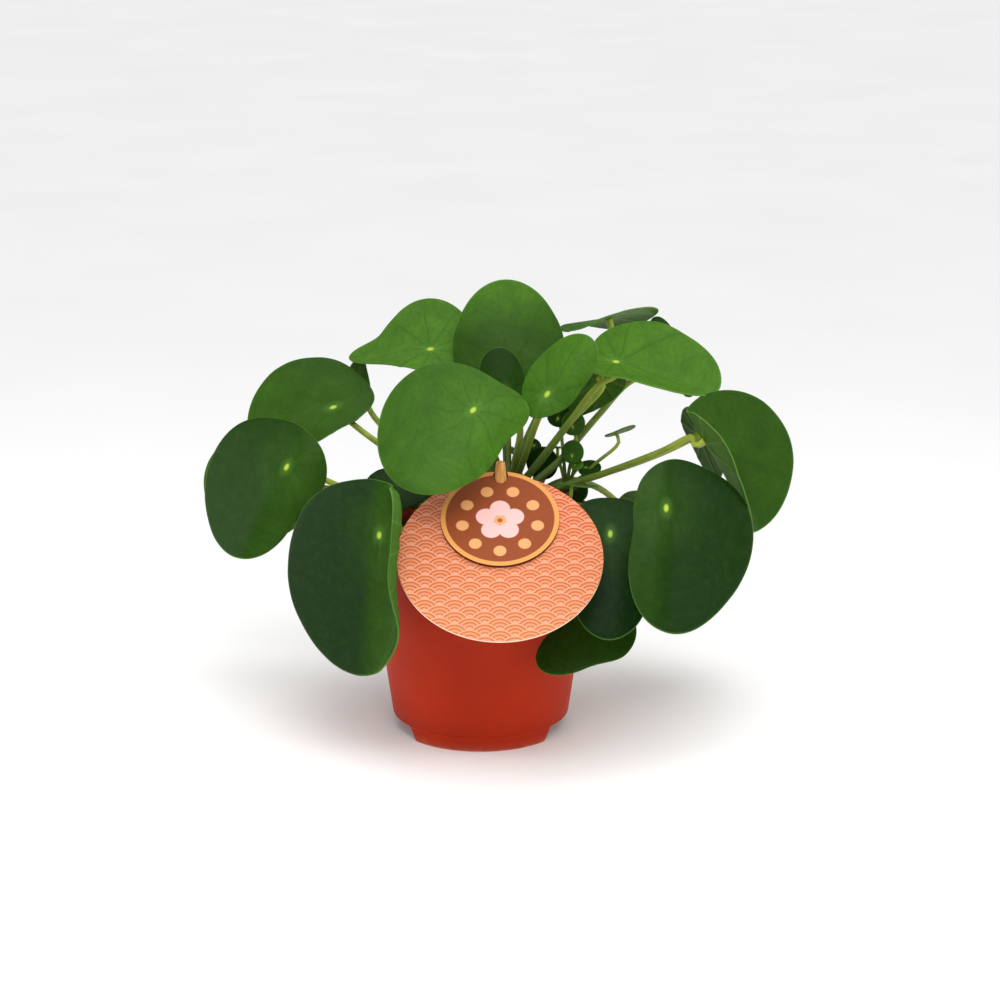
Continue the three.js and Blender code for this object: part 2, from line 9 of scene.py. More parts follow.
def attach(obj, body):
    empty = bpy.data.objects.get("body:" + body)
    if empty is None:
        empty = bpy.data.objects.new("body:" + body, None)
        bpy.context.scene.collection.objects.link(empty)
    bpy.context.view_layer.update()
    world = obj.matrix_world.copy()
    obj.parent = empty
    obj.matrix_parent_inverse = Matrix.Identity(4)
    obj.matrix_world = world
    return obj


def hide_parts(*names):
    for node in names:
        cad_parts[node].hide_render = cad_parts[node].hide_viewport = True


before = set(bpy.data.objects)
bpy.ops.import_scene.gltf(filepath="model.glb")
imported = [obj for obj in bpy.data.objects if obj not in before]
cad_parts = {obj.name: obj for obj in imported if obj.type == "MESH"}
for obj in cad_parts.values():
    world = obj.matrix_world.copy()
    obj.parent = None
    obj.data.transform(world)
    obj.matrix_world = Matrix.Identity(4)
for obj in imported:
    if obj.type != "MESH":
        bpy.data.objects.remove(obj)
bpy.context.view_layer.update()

# ---- camera ----
# The photograph is taken from a little above the rim through a long lens, so the pot hardly
# tapers in perspective. The stand and the lens put rim, tag and leaf tips on the photo's pixels.
MM = 0.001
LENS_AT = Vector((10, -1250, 480)) * MM
LOOKS_AT = Vector((10, 0, 119.3)) * MM
FOCAL_LENGTH = 92.3
FILM_WIDTH = 36
FAR_CLIP = 40
lens = bpy.data.cameras.new("camera")
lens.lens = FOCAL_LENGTH
lens.sensor_width = FILM_WIDTH
lens.clip_end = FAR_CLIP
camera = bpy.data.objects.new("camera", lens)
camera.location = LENS_AT
camera.rotation_euler = (LOOKS_AT - LENS_AT).to_track_quat("-Z", "Y").to_euler()
bpy.context.scene.collection.objects.link(camera)
bpy.context.scene.camera = camera


# ---- studio: floor and light ----
# A sheet of pale matt paper on the table. The light is a broad even one from overhead, a softbox
# over the front, a weak fill on each side and the pale room all round.
def tint(code):
    """The linear colour of an sRGB hex value such as 0x35602a."""
    channels = [((code >> shift) & 255) / 255 for shift in (16, 8, 0)]
    linear = [c / 12.92 if c <= 0.04045 else ((c + 0.055) / 1.055) ** 2.4 for c in channels]
    return (*linear, 1.0)


def add_node(tree, kind, inputs=None, stops=(), out=None, to=None, **settings):
    """Adds one node and gives its first output in use, or the one that out names, which also
    feeds the input to. An input gets a value or, from another node's output, a link. A stop's
    colour is a hex value or, in a mask, a shade from 0.0 to 1.0."""
    made = tree.nodes.new("ShaderNode" + kind)
    for name, value in settings.items():
        setattr(made, name, value)
    for name, value in (inputs or {}).items():
        if isinstance(value, bpy.types.NodeSocket):
            tree.links.new(value, made.inputs[name])
        else:
            made.inputs[name].default_value = value
    for i, (place, shade) in enumerate(stops):
        stop = made.color_ramp.elements[i] if i < 2 else made.color_ramp.elements.new(place)
        stop.position = place
        stop.color = tint(shade) if isinstance(shade, int) else (shade, shade, shade, 1)
    given = made.outputs[out] if out else [o for o in made.outputs if o.enabled][0]
    if to:
        tree.links.new(given, to)
    return given


MAP_SPAN = 100  # millimetres across a piece's UV map


def new_finish(name, uv=None, **shader_values):
    """Starts a material, with fixed values on its shader's sockets. Gives it with its tree, its
    shader and the place that its patterns read: in metres or, on a UV map, in millimetres."""
    material = bpy.data.materials.new(name)
    material.use_nodes = True
    tree = material.node_tree
    shader = tree.nodes["Principled BSDF"]
    for socket, value in shader_values.items():
        shader.inputs[socket.replace("_", " ")].default_value = value
    if not uv:
        return material, tree, shader, add_node(tree, "TexCoord", out="Object")
    flat = add_node(tree, "UVMap", uv_map=uv)
    centred = add_node(tree, "VectorMath", {0: flat, 1: (-0.5, -0.5, 0)}, operation="ADD")
    place = add_node(tree, "VectorMath", {0: centred, "Scale": MAP_SPAN}, operation="SCALE")
    return material, tree, shader, place


def make_piece(name, bm, finishes, sharp=40):
    """Turns a mesh in millimetres into a piece at the origin, with edges over sharp kept crisp."""
    bmesh.ops.scale(bm, vec=(MM, MM, MM), verts=bm.verts)
    for face in bm.faces:
        face.smooth = True
    for edge in bm.edges:
        if edge.is_manifold:
            edge.smooth = edge.calc_face_angle() < radians(sharp)
    mesh = bpy.data.meshes.new(name)
    bm.to_mesh(mesh)
    bm.free()
    for finish in finishes:
        mesh.materials.append(finish)
    piece = bpy.data.objects.new(name, mesh)
    bpy.context.scene.collection.objects.link(piece)
    return piece


def paper_finish():
    """Matt seamless paper: nearly white, with a faint cloudy fibre."""
    material, tree, shader, place = new_finish("matt_studio_paper", Roughness=0.9)
    cloud = add_node(tree, "TexNoise", {"Vector": place, "Scale": 1 / (200 * MM), "Detail": 2})
    add_node(tree, "ValToRGB", {"Fac": cloud}, stops=[(0.3, 0xf4f4f3), (0.7, 0xf7f7f6)],
             to=shader.inputs["Base Color"])
    return material


FLOOR_HALF = 9000
bm = bmesh.new()
bmesh.ops.create_grid(bm, x_segments=8, y_segments=8, size=FLOOR_HALF)
make_piece("floor", bm, [paper_finish()])

# Each light: its kind, its place, what it is turned to, its strength and its width. The first is
# far off, so of its place only the direction counts, and its width is the angle it fills.
LIGHTS = {
    "overhead_light": ("SUN", (0.1, -0.1, 1), (0, 0, 0), 2.3, ("angle", radians(75))),
    "softbox_over_front": ("AREA", (15, -430, 430), (0, -20, 110), 1.4, ("size", 300 * MM)),
    "left_fill": ("AREA", (-620, -40, 240), (0, 0, 80), 1.5, ("size", 420 * MM)),
    "right_fill": ("AREA", (620, -40, 240), (0, 0, 80), 1.5, ("size", 420 * MM)),
}
for name, (kind, at, aim, strength, width) in LIGHTS.items():
    lamp = bpy.data.lights.new(name, kind)
    lamp.energy = strength
    setattr(lamp, *width)
    light = bpy.data.objects.new(name, lamp)
    light.location = Vector(at) * MM
    light.rotation_euler = (Vector(aim) - Vector(at)).to_track_quat("-Z", "Y").to_euler()
    bpy.context.scene.collection.objects.link(light)
ROOM_LIGHT = 0.26
room = bpy.data.worlds.new("pale_room")
room.use_nodes = True
pale = room.node_tree.nodes["Background"]
pale.inputs["Color"].default_value = tint(0xf6f8fa)
pale.inputs["Strength"].default_value = ROOM_LIGHT
bpy.context.scene.world = room
bpy.context.scene.view_settings.view_transform = "Standard"


# ---- pot ----
# A nursery pot of terracotta-red polypropylene, injection moulded in one piece with a matt
# spark-eroded surface: thin tapering wall, stepped collar, raised bottom with drain holes, and a
# foot that is cut away on both sides.
POT_HEIGHT = 112
RIM_RADIUS = 60
COLLAR_LOW = 100
COLLAR_STEP = 1.6
WALL = 1.4
FOOT_HEIGHT = 8
FOOT_RADIUS = 44.2
BASE_RADIUS = 45.5
PLATE_TOP = 9.6
GROOVE = 0.35
LIP_ROUND = 0.35
POT_SIDES = 160


def spun(bm, profile, sides):
    """A profile of (radius, height) points turned once round the axis, closed and facing out."""
    points = [bm.verts.new((r, 0, z)) for r, z in profile]
    edges = [bm.edges.new(pair) for pair in zip(points, points[1:])]
    bmesh.ops.spin(bm, geom=points + edges, axis=(0, 0, 1), cent=(0, 0, 0), dvec=(0, 0, 0),
                   angle=2 * pi, steps=sides, use_merge=True)
    bmesh.ops.remove_doubles(bm, verts=bm.verts, dist=1e-4)
    bmesh.ops.recalc_face_normals(bm, faces=bm.faces)


def wall_at(z):
    """Outer radius of the pot's wall at a height."""
    taper = (RIM_RADIUS - COLLAR_STEP - BASE_RADIUS) / (COLLAR_LOW - FOOT_HEIGHT)
    return BASE_RADIUS + taper * (z - FOOT_HEIGHT)


def smooth_step(x):
    """0 below 0, 1 above 1, and an S-curve between."""
    x = min(1, max(0, x))
    return x * x * (3 - 2 * x)


INNER_TOP = RIM_RADIUS - WALL - 0.4
PLATE_RINGS = (0, 14, 26, 40)
foot_rings = [(FOOT_RADIUS + (BASE_RADIUS - FOOT_RADIUS) * z / FOOT_HEIGHT, z)
              for z in (0, 1, 2.5, 4, 5.5, 7, 7.7)]
wall_rings = [(wall_at(z), z) for z in (8.4, 20, 36, 52, 68, 84, 96, COLLAR_LOW)]
inner_rings = [(wall_at(z) - WALL, z) for z in (COLLAR_LOW, 80, 60, 40, 20, PLATE_TOP)]
pot_profile = [(r, FOOT_HEIGHT) for r in (*PLATE_RINGS, FOOT_RADIUS - WALL)]
pot_profile += [(FOOT_RADIUS - WALL, 0)]
pot_profile += foot_rings + [(wall_at(FOOT_HEIGHT) - GROOVE, FOOT_HEIGHT)] + wall_rings
pot_profile += [(RIM_RADIUS - 0.3, COLLAR_LOW + 1.2), (RIM_RADIUS, POT_HEIGHT - 0.8),
                (RIM_RADIUS - 0.7, POT_HEIGHT), (INNER_TOP, POT_HEIGHT)]
pot_profile += inner_rings + [(r, PLATE_TOP) for r in reversed(PLATE_RINGS)]
bm = bmesh.new()
spun(bm, pot_profile, POT_SIDES)
# The moulding's foot runs up in an S-curve into the side arches.
ARCH_MIDDLE = 90  # degrees round from the front
ARCH_HALF = 39
ARCH_EASE = 9
ARCH_LIFT = 0.96  # share of the foot's height
for vert in bm.verts:
    if vert.co.z < FOOT_HEIGHT - 0.2 and hypot(vert.co.x, vert.co.y) > FOOT_RADIUS - WALL - 1:
        side = abs(abs(atan2(vert.co.x, -vert.co.y)) * 180 / pi - ARCH_MIDDLE)
        lift = 1 - smooth_step((side - ARCH_HALF + ARCH_EASE / 2) / ARCH_EASE)
        vert.co.z += lift * ARCH_LIFT * (FOOT_HEIGHT - 0.3 - vert.co.z)


def punch(bm, cutter_bm):
    """Cuts the cutter's shape out of a mesh, as the mould's pins or a punch would leave it."""
    names = ("blank", "punch")
    blank, tool = (bpy.data.objects.new(n, bpy.data.meshes.new(n)) for n in names)
    for thing, source in ((blank, bm), (tool, cutter_bm)):
        source.to_mesh(thing.data)
        bpy.context.scene.collection.objects.link(thing)
    cut = blank.modifiers.new("cut", "BOOLEAN")
    cut.object = tool
    cut.solver = "EXACT"
    evaluated = blank.evaluated_get(bpy.context.evaluated_depsgraph_get())
    bm.clear()
    bm.from_mesh(evaluated.to_mesh())
    evaluated.to_mesh_clear()
    cutter_bm.free()
    for thing in (blank, tool):
        data = thing.data
        bpy.data.objects.remove(thing)
        bpy.data.meshes.remove(data)


DRAINS = 8
DRAIN_RADIUS = 3.4
DRAIN_RING = 33
PIN_LENGTH = 8
pins = bmesh.new()
for i in range(DRAINS):
    turn = (i + 0.5) * 2 * pi / DRAINS
    at = Matrix.Translation((DRAIN_RING * cos(turn), DRAIN_RING * sin(turn), FOOT_HEIGHT + 1))
    bmesh.ops.create_cone(pins, cap_ends=True, segments=28, radius1=DRAIN_RADIUS,
                          radius2=DRAIN_RADIUS, depth=PIN_LENGTH, matrix=at)
punch(bm, pins)


def pot_finish():
    """Moulded polypropylene: an even, nearly dull skin with a fine grain, drawn paler on the lip,
    the collar's step and the foot, and with faint dusty clouds down the wall."""
    material, tree, shader, place = new_finish("moulded_polypropylene", Roughness=0.55,
                                               Specular_IOR_Level=0.14, IOR=1.49)
    cloud = add_node(tree, "TexNoise", {"Vector": place, "Scale": 1 / (35.7 * MM), "Detail": 5})
    skin = add_node(tree, "ValToRGB", {"Fac": cloud}, stops=[(0.3, 0xa42504), (0.72, 0xb22b06)])
    height = add_node(tree, "SeparateXYZ", {"Vector": place}, out="Z")
    level = add_node(tree, "Math", {0: height, 1: 1 / (POT_HEIGHT * MM)}, operation="MULTIPLY")
    # How much paler the pot is drawn at a height: on its standing edge, round the collar's step and
    # on the lip.
    pale_band_heights = [(0, 1.0), (1.2, 0.25), (4.8, 0.0), (COLLAR_LOW - 0.9, 0.0), (COLLAR_LOW + 0.8, 0.35),
            (COLLAR_LOW + 2.5, 0.05), (POT_HEIGHT - 1.2, 0.1), (POT_HEIGHT, 1.0)]
    pale_bands = add_node(tree, "ValToRGB", {"Fac": level}, stops=[(z / POT_HEIGHT, w) for z, w in pale_band_heights])
    speck = add_node(tree, "TexNoise", {"Vector": place, "Scale": 1 / (4.17 * MM), "Detail": 3})
    patchy = add_node(tree, "Math", {0: pale_bands, 1: speck}, operation="MULTIPLY")
    add_node(tree, "Mix", {"Factor": patchy, "A": skin, "B": tint(0xc98a72)}, data_type="RGBA",
             to=shader.inputs["Base Color"])
    # The spark-eroded grain is about 0.15 mm on the tool. It is drawn at 0.7 mm so that it shows.
    grain = add_node(tree, "TexNoise", {"Vector": place, "Scale": 1 / (0.7 * MM), "Detail": 1})
    add_node(tree, "Bump", {"Height": grain, "Strength": 0.18, "Distance": 0.1 * MM},
             to=shader.inputs["Normal"])
    return material


pot = make_piece("nursery_pot", bm, [pot_finish()], sharp=50)
lip_rounding = pot.modifiers.new("lip_rounding", "BEVEL")
lip_rounding.width = LIP_ROUND * MM
lip_rounding.segments = 3
lip_rounding.limit_method = "ANGLE"
lip_rounding.angle_limit = radians(40)
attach(pot, "root")
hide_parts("pot")


# ---- leaf blades ----
# The leaves are round, fleshy and about a millimetre thick, each joined to its stalk inside the
# blade and not at the edge. The skin is waxy. Main veins run out from the joint like spokes.

# Each row: at, the joint; tip, from there to the leaf's tip; face, where its upper side looks
# (azimuth, elevation); rim, joint to margin every 45 degrees from the tip round by the right;
# bend, how far it drops to the left, right, tip and stalk end, in degrees, with fold at the
# midrib; hug, how close to the margin the sides bend, fade, how that is lost toward the tip, and
# twist, how far the tip turns; point, how far the tip is drawn out, and crease, how far a pressed
# line runs from the joint; root, where its stalk leaves the stem, arm and reach, the stalk's way;
# fresh, from old dark green to young bright green; paler, how much fresher one side is painted,
# as painted light on the part of the blade that the light reaches most, its heading from the tip
# and where along it that sets in.
LEAVES = {
    "left_low": dict(at=(-97, -12, 140), tip=(-24, -13, -44), face=(-112, 24),
        rim=(51.5, 53, 46.5, 28, 21, 20, 21.5, 24), bend=(36, 4, 8, 10), root=112, reach=6, fold=14,
        arm=[(-31, 0, 116), (-63, -2, 123.6), (-80, -5, 132)], fresh=0.1,
        paler=(0.14, -90, -8, 12)),
    "left_mid": dict(at=(-76, 32, 160), tip=(-45, -1, -13), face=(-110, 52),
        rim=(47, 43, 32, 23, 22, 18, 19, 32), fold=-12, bend=(8, 5, 12, 10), root=115, reach=5,
        arm=[(-21, 8, 126), (-56, 20, 146.6), (-68, 27, 154)], fresh=0.23, paler=(0.1, 0, -5, 40)),
    "left_top": dict(at=(-26, 44, 188), tip=(-43, 2, -4), face=(-105, 54),
        rim=(28, 28, 32, 27, 24, 18, 18, 18), fold=-12, bend=(10, 5, 5, 10), point=15, root=119,
        fresh=0.58),
    "left_hidden": dict(at=(-68, 58, 158), tip=(4, 6, 20), face=(125, 20),
        rim=(19, 13, 11, 11, 12, 11, 11, 13), bend=(15, 15, 10, 10), point=4, root=116,
        arm=[(-26, 24, 131), (-54, 46, 149)], reach=8, fresh=0.12),
    "left_under": dict(at=(-104, 38, 118), tip=(-18, -8, -42), face=(-108, 12),
        rim=(26, 27, 27, 25, 22, 20, 20, 22), bend=(10, 15, 10, 10), root=109, reach=8,
        arm=[(-31, 16, 114), (-56, 28, 115.5), (-80, 44, 113)], fresh=0.05),
    "left_shade": dict(at=(-38, -8, 131), tip=(-22, -3, -5), face=(-100, 55),
        rim=(22, 18, 12, 12, 14, 15, 16, 19), bend=(15, 15, 10, 10), root=111, reach=7, fresh=0),
    "front_left": dict(at=(-48, -74, 123), tip=(-6, -4, -70), face=(-108, 5),
        rim=(71, 70, 50.5, 31.5, 26, 25.5, 20, 28), fold=17, bend=(-170, 8, 5, 15), hug=1.6,
        fade=(0.45, 15, 52), root=108, arm=[(-18, -15, 119), (-38, -46, 117)], fresh=0.03,
        paler=(0.24, -90, -10, 7), crease=13),
    "centre_big": dict(at=(-3, -46, 178), tip=(-36, -23, -31), face=(-88, 34),
        rim=(52, 45, 34, 23, 20, 28, 22.5, 35), bend=(25, 10, 12, 10), root=118, fresh=0.4,
        paler=(0.14, -90, -20, 26)),
    "centre_top": dict(at=(15, 26, 181.2), tip=(-3, 11, 45), face=(-90, 14),
        rim=(47, 36, 27, 18, 15, 18, 27, 36), bend=(10, 10, 18, 10), root=120, reach=7,
        arm=[(14, 22, 142), (14, 34, 164)], fresh=0.25, paler=(0.4, 0, 12, 46)),
    "centre_young": dict(at=(13, -6, 177), tip=(-5, 5, 22), face=(-85, 12),
        rim=(23, 15, 10, 8, 8, 8, 10, 16), bend=(15, 15, 5, 5), reach=7, root=119,
        arm=[(18, -1, 142), (20, -2, 158)], fresh=0.06),
    "centre_bright": dict(at=(33, -30, 182), tip=(22, 4, 27), face=(-108, 22),
        rim=(35, 17, 12, 11, 14, 13, 15, 22), bend=(15, 50, 5, 5), root=121, reach=6,
        arm=[(20, -2, 136), (29, -16, 166)], fresh=0.44, paler=(0.15, 0, 4, 30)),
    "centre_turned": dict(at=(61, 26, 177), tip=(-24, 4, -18), face=(60, 40),
        rim=(30, 20, 15, 14, 14, 14, 15, 20), bend=(10, 10, 10, 10), root=120, reach=8,
        arm=[(30, 4, 138), (46, 10, 158)], fresh=0.3),
    "right_top": dict(at=(68, 2, 191), tip=(49, -28, -4), face=(-112, 62),
        rim=(56, 28, 20, 16, 16, 22, 25, 36), fold=-18, bend=(5, -10, 12, 10), root=119, reach=7,
        arm=[(25.5, 3, 133), (46, 5, 160), (59.3, 6, 177.5)], fresh=0.62),
    "right_edge": dict(at=(66, 46, 204), tip=(26, 0, 5), face=(90, 74),
        rim=(26, 24, 22, 22, 26, 22, 22, 24), bend=(20, 10, 5, 5), twist=14, root=120,
        arm=[(26, 24, 150), (50, 46, 182)], fresh=0.4),
    "right_behind": dict(at=(101.5, 46, 183), tip=(-11, 5, 22), face=(-30, 28),
        rim=(24, 19, 15, 16, 22, 16, 15, 19), bend=(15, 15, 12, 10), root=117, reach=5,
        arm=[(40, 13, 136), (52.2, 26.0, 147.1), (63.7, 36.0, 157.9), (75.3, 44.0, 168.7)],
        fresh=0.08),
    "right_far": dict(at=(111, -40, 161.4), tip=(28.2, -11.9, -48.4), face=(-22, 25),
        rim=(51, 30, 23.7, 19.8, 17.8, 26.7, 40, 49), fold=-41, bend=(0, 0, 5, 10), root=113,
        reach=6, arm=[(46, 2, 127.5), (59, 0, 132), (89.7, -16.0, 148.8), (104.8, -32.0, 160.7)],
        fresh=0.22),
    "right_turned": dict(at=(112, 14, 150), tip=(12, -4, -26), face=(25, 20),
        rim=(25, 22, 20, 18, 16, 15, 15, 18), bend=(10, 10, 10, 10), root=114,
        arm=[(50, 10, 126), (81, 9, 137)], fresh=0.15),
    "right_front": dict(at=(89, -82, 139), tip=(-3, -22, -52), face=(-74, 24),
        rim=(58, 22, 15.5, 18, 23.5, 31, 48.5, 56), fold=19, bend=(-8, 2, 8, 12), root=110,
        arm=[(40, -6, 117), (66, -18, 120), (86, -38, 127)], fresh=0.04, paler=(0.1, 90, -7, 8),
        crease=13),
    "right_dark": dict(at=(64, -48, 116), tip=(-2, -28, -45), face=(-90, 32),
        rim=(53, 28, 20, 21, 19, 21, 21, 31), bend=(10, 10, 8, 12), root=108, reach=6,
        arm=[(36, -12, 118), (56, -26, 119)], fresh=0),
    "right_low": dict(at=(60, -42, 68), tip=(-31, -16, -16), face=(-95, 50),
        rim=(39, 17, 14, 13, 14, 18, 21, 24), bend=(15, 10, 8, 10), root=106, reach=8,
        arm=[(42, -14, 121), (58, -20, 118), (67, -25, 102), (65, -25, 78)], fresh=0.14),
    "back_left": dict(at=(-120.8, 104, 104), tip=(-8, 3, -36), face=(78, 20),
        rim=(38, 35, 32, 26, 22, 25, 30, 35), bend=(15, 15, 10, 10), root=112,
        arm=[(-28, 26, 117), (-46, 42, 115), (-72, 58, 106)], fresh=0.25),
    "back_mid": dict(at=(-14, 72, 142), tip=(-10, 34, -30), face=(105, 45),
        rim=(44, 38, 31, 25, 22, 25, 31, 38), bend=(15, 15, 12, 10), root=114, fresh=0.35),
    "back_top": dict(at=(10, 64, 170), tip=(6, 38, -10), face=(85, 60),
        rim=(40, 36, 30, 25, 22, 25, 30, 36), bend=(15, 15, 15, 10), root=118,
        arm=[(13, 30, 140), (11, 46, 156)], fresh=0.45),
    "back_low": dict(at=(-10, 88, 100), tip=(-6, 18, -50), face=(95, 15),
        rim=(50, 44, 33, 26, 22, 26, 33, 44), bend=(15, 15, 8, 12), root=108,
        arm=[(4, 36, 122), (0, 58, 121)], reach=7, fresh=0.15),
    "back_right": dict(at=(98, 62, 92), tip=(22, 22, -44), face=(50, 25),
        rim=(50, 42, 31, 25, 22, 25, 31, 42), bend=(15, 15, 10, 10), root=110, reach=10,
        arm=[(44, 34, 120), (62, 44, 113)], fresh=0.3),
}
BEND_STEPS = 10
FOLD_ROUND = 5  # distance over which a fold at the midrib sets in
WIDTH_STEPS = 36  # steps round half an outline when its width is looked up
NARROWEST_BEND = 8  # the least half-width that a margin's bend is spread over
VEINS = 9  # main veins of a leaf
VEIN_WIDTH = 1.1
VEIN_SINK = 0.08
WANDER = 0.34  # how far a vein strays from its ray, in radians
QUILT = 0.16  # height of the swellings between the veins
CREASE = 0.8  # depth of a pressed line
DIMPLE = 0.8  # depth at the joint
WAVE = 0.8  # height of the margin's swing
POINT_HALF = 0.28  # half-width of a drawn-out tip, in steps of the outline
PROBE = 0.4  # how far off the slope of a blade is felt
SECTORS = 150  # of a blade's outline
RINGS = 26
LIP = [(0.985, 0.95), (0.994, 0.72), (0.9985, 0.36), (1.0, 0.0)]  # rounded margin: share, height
BLADE_THICK = 0.9


def arc(start, rate, length):
    """How far a strip comes along and down that starts at an angle and turns at an even rate."""
    rate = rate or 1e-6
    end = start + rate * length
    return (sin(end) - sin(start)) / rate, (cos(start) - cos(end)) / rate


def bent(length, reach, fold, bend, hug=1.0):
    """The same for a fold at the midrib, rounded over its first millimetres, and a bend that
    grows with the distance."""
    fold, bend = radians(fold), radians(bend)
    if hug == 1:
        near = min(length, FOLD_ROUND)
        along, down = arc(0, fold / FOLD_ROUND + bend / reach, near)
        onward, downward = arc(fold + bend * near / reach, bend / reach, length - near)
        return along + onward, down + downward
    along = down = 0.0
    step = length / BEND_STEPS
    for i in range(BEND_STEPS):
        at = (i + 0.5) * step
        angle = fold * min(1, at / FOLD_ROUND) + bend * (at / reach) ** hug
        along += step * cos(angle)
        down += step * sin(angle)
    return along, down


def blade_axes(leaf):
    """A leaf's joint, the directions to its tip, its right and its upper side, and its length."""
    ahead = Vector(leaf["tip"]).normalized()
    turn, rise = (radians(a) for a in leaf["face"])
    over = Vector((cos(rise) * cos(turn), cos(rise) * sin(turn), sin(rise)))
    over = (over - ahead * over.dot(ahead)).normalized()
    return Vector(leaf["at"]), ahead, ahead.cross(over), over, Vector(leaf["tip"]).length


def blade_margin(leaf, angle):
    """Distance from the joint to the margin, smooth through the eight distances of the row."""
    at = (angle / (2 * pi) * 8) % 8
    i = int(at)
    t = at - i
    p, q, r, s = (leaf["rim"][(i + k) % 8] for k in (7, 0, 1, 2))
    smooth = q + 0.5 * t * (r - p + t * (2 * p - 5 * q + 4 * r - s + t * (3 * (q - r) + s - p)))
    off = min(at, 8 - at) / POINT_HALF
    return smooth + leaf.get("point", 0) * exp(-off * off)


def half_width(leaf, side, v):
    """Half the width of the flat blade at v, on the side with this sign."""
    last = (0, blade_margin(leaf, 0))
    for k in range(1, WIDTH_STEPS + 1):
        turn = k * pi / WIDTH_STEPS
        reach = blade_margin(leaf, side * turn)
        here = (reach * sin(turn), reach * cos(turn))
        if here[1] <= v:
            part = (last[1] - v) / (last[1] - here[1])
            return max(NARROWEST_BEND, last[0] + (here[0] - last[0]) * part)
        last = here
    return NARROWEST_BEND


def blade_point(leaf, axes, u, v):
    """A point of the blade's middle surface, u to the right of the joint and v toward the tip."""
    at, ahead, right, over, front = axes
    to_left, to_right, to_tip, to_stalk = leaf["bend"]
    rim = leaf["rim"]
    half = rim[6] if u < 0 else rim[2]
    lost, first, last = leaf.get("fade", (0, 0, 1))
    kept = 1 - lost * smooth_step((v - first) / (last - first))
    side = (to_left if u < 0 else to_right) * kept
    reach = half_width(leaf, -1 if u < 0 else 1, v) if "hug" in leaf else half
    x, drop_x = bent(abs(u), reach, leaf.get("fold", 0), side, leaf.get("hug", 1))
    y, drop_y = bent(abs(v), front if v > 0 else rim[4], 0, to_tip if v > 0 else to_stalk)
    turn = radians(leaf.get("twist", 0)) * v / front
    px, py = (x if u > 0 else -x), (y if v > 0 else -y)
    dip = DIMPLE * exp(-(u * u + v * v) / 30)
    swell = leaf.get("wave", WAVE) * ((u / half) ** 2 + (v / front) ** 2)
    pz = swell * sin(3 * atan2(u, v) + leaf["at"][0]) - drop_x - drop_y - dip
    return (at + right * (px * cos(turn) - pz * sin(turn)) + ahead * py
            + over * (px * sin(turn) + pz * cos(turn)))


def vein_map(leaf, u, v):
    """The flat place with the veins' own wander in it, in which every main vein is a ray."""
    seat = Vector((u / 24 + leaf["at"][0], v / 24 + leaf["at"][1], 0.5))
    wander = WANDER * noise.noise(seat) * smooth_step(hypot(u, v) / 16)
    return u * cos(wander) - v * sin(wander), u * sin(wander) + v * cos(wander)


def blade_relief(leaf, u, v, a, b):
    """Height of the sunk veins and of the quilting between them, and the veins' part alone."""
    r = hypot(a, b)
    spacing = 2 * pi / VEINS
    off = r * abs((atan2(a, b) / spacing + 0.5) % 1 - 0.5) * spacing
    vein = exp(-(off / VEIN_WIDTH) ** 2) * smooth_step((r - 2) / 6) * smooth_step((62 - r) / 60)
    seat = Vector((u / 7 + leaf["at"][2], v / 7, 2.5))
    quilt = QUILT * noise.noise(seat) * smooth_step(r / 12)
    crease = 0.0
    if "crease" in leaf:
        run = smooth_step((v - 1) / 3) * smooth_step((leaf["crease"] - v) / 5)
        crease = CREASE * run * exp(-(u / 0.9) ** 2)
    return quilt - VEIN_SINK * vein - crease, vein


def join_in(bm, part):
    """Adds a part that was shaped on its own, which takes less time than in a large mesh."""
    mesh = bpy.data.meshes.new("part")
    part.to_mesh(mesh)
    part.free()
    bm.from_mesh(mesh)
    bpy.data.meshes.remove(mesh)


flat_discs = {}  # each one spun once, then copied for every blade


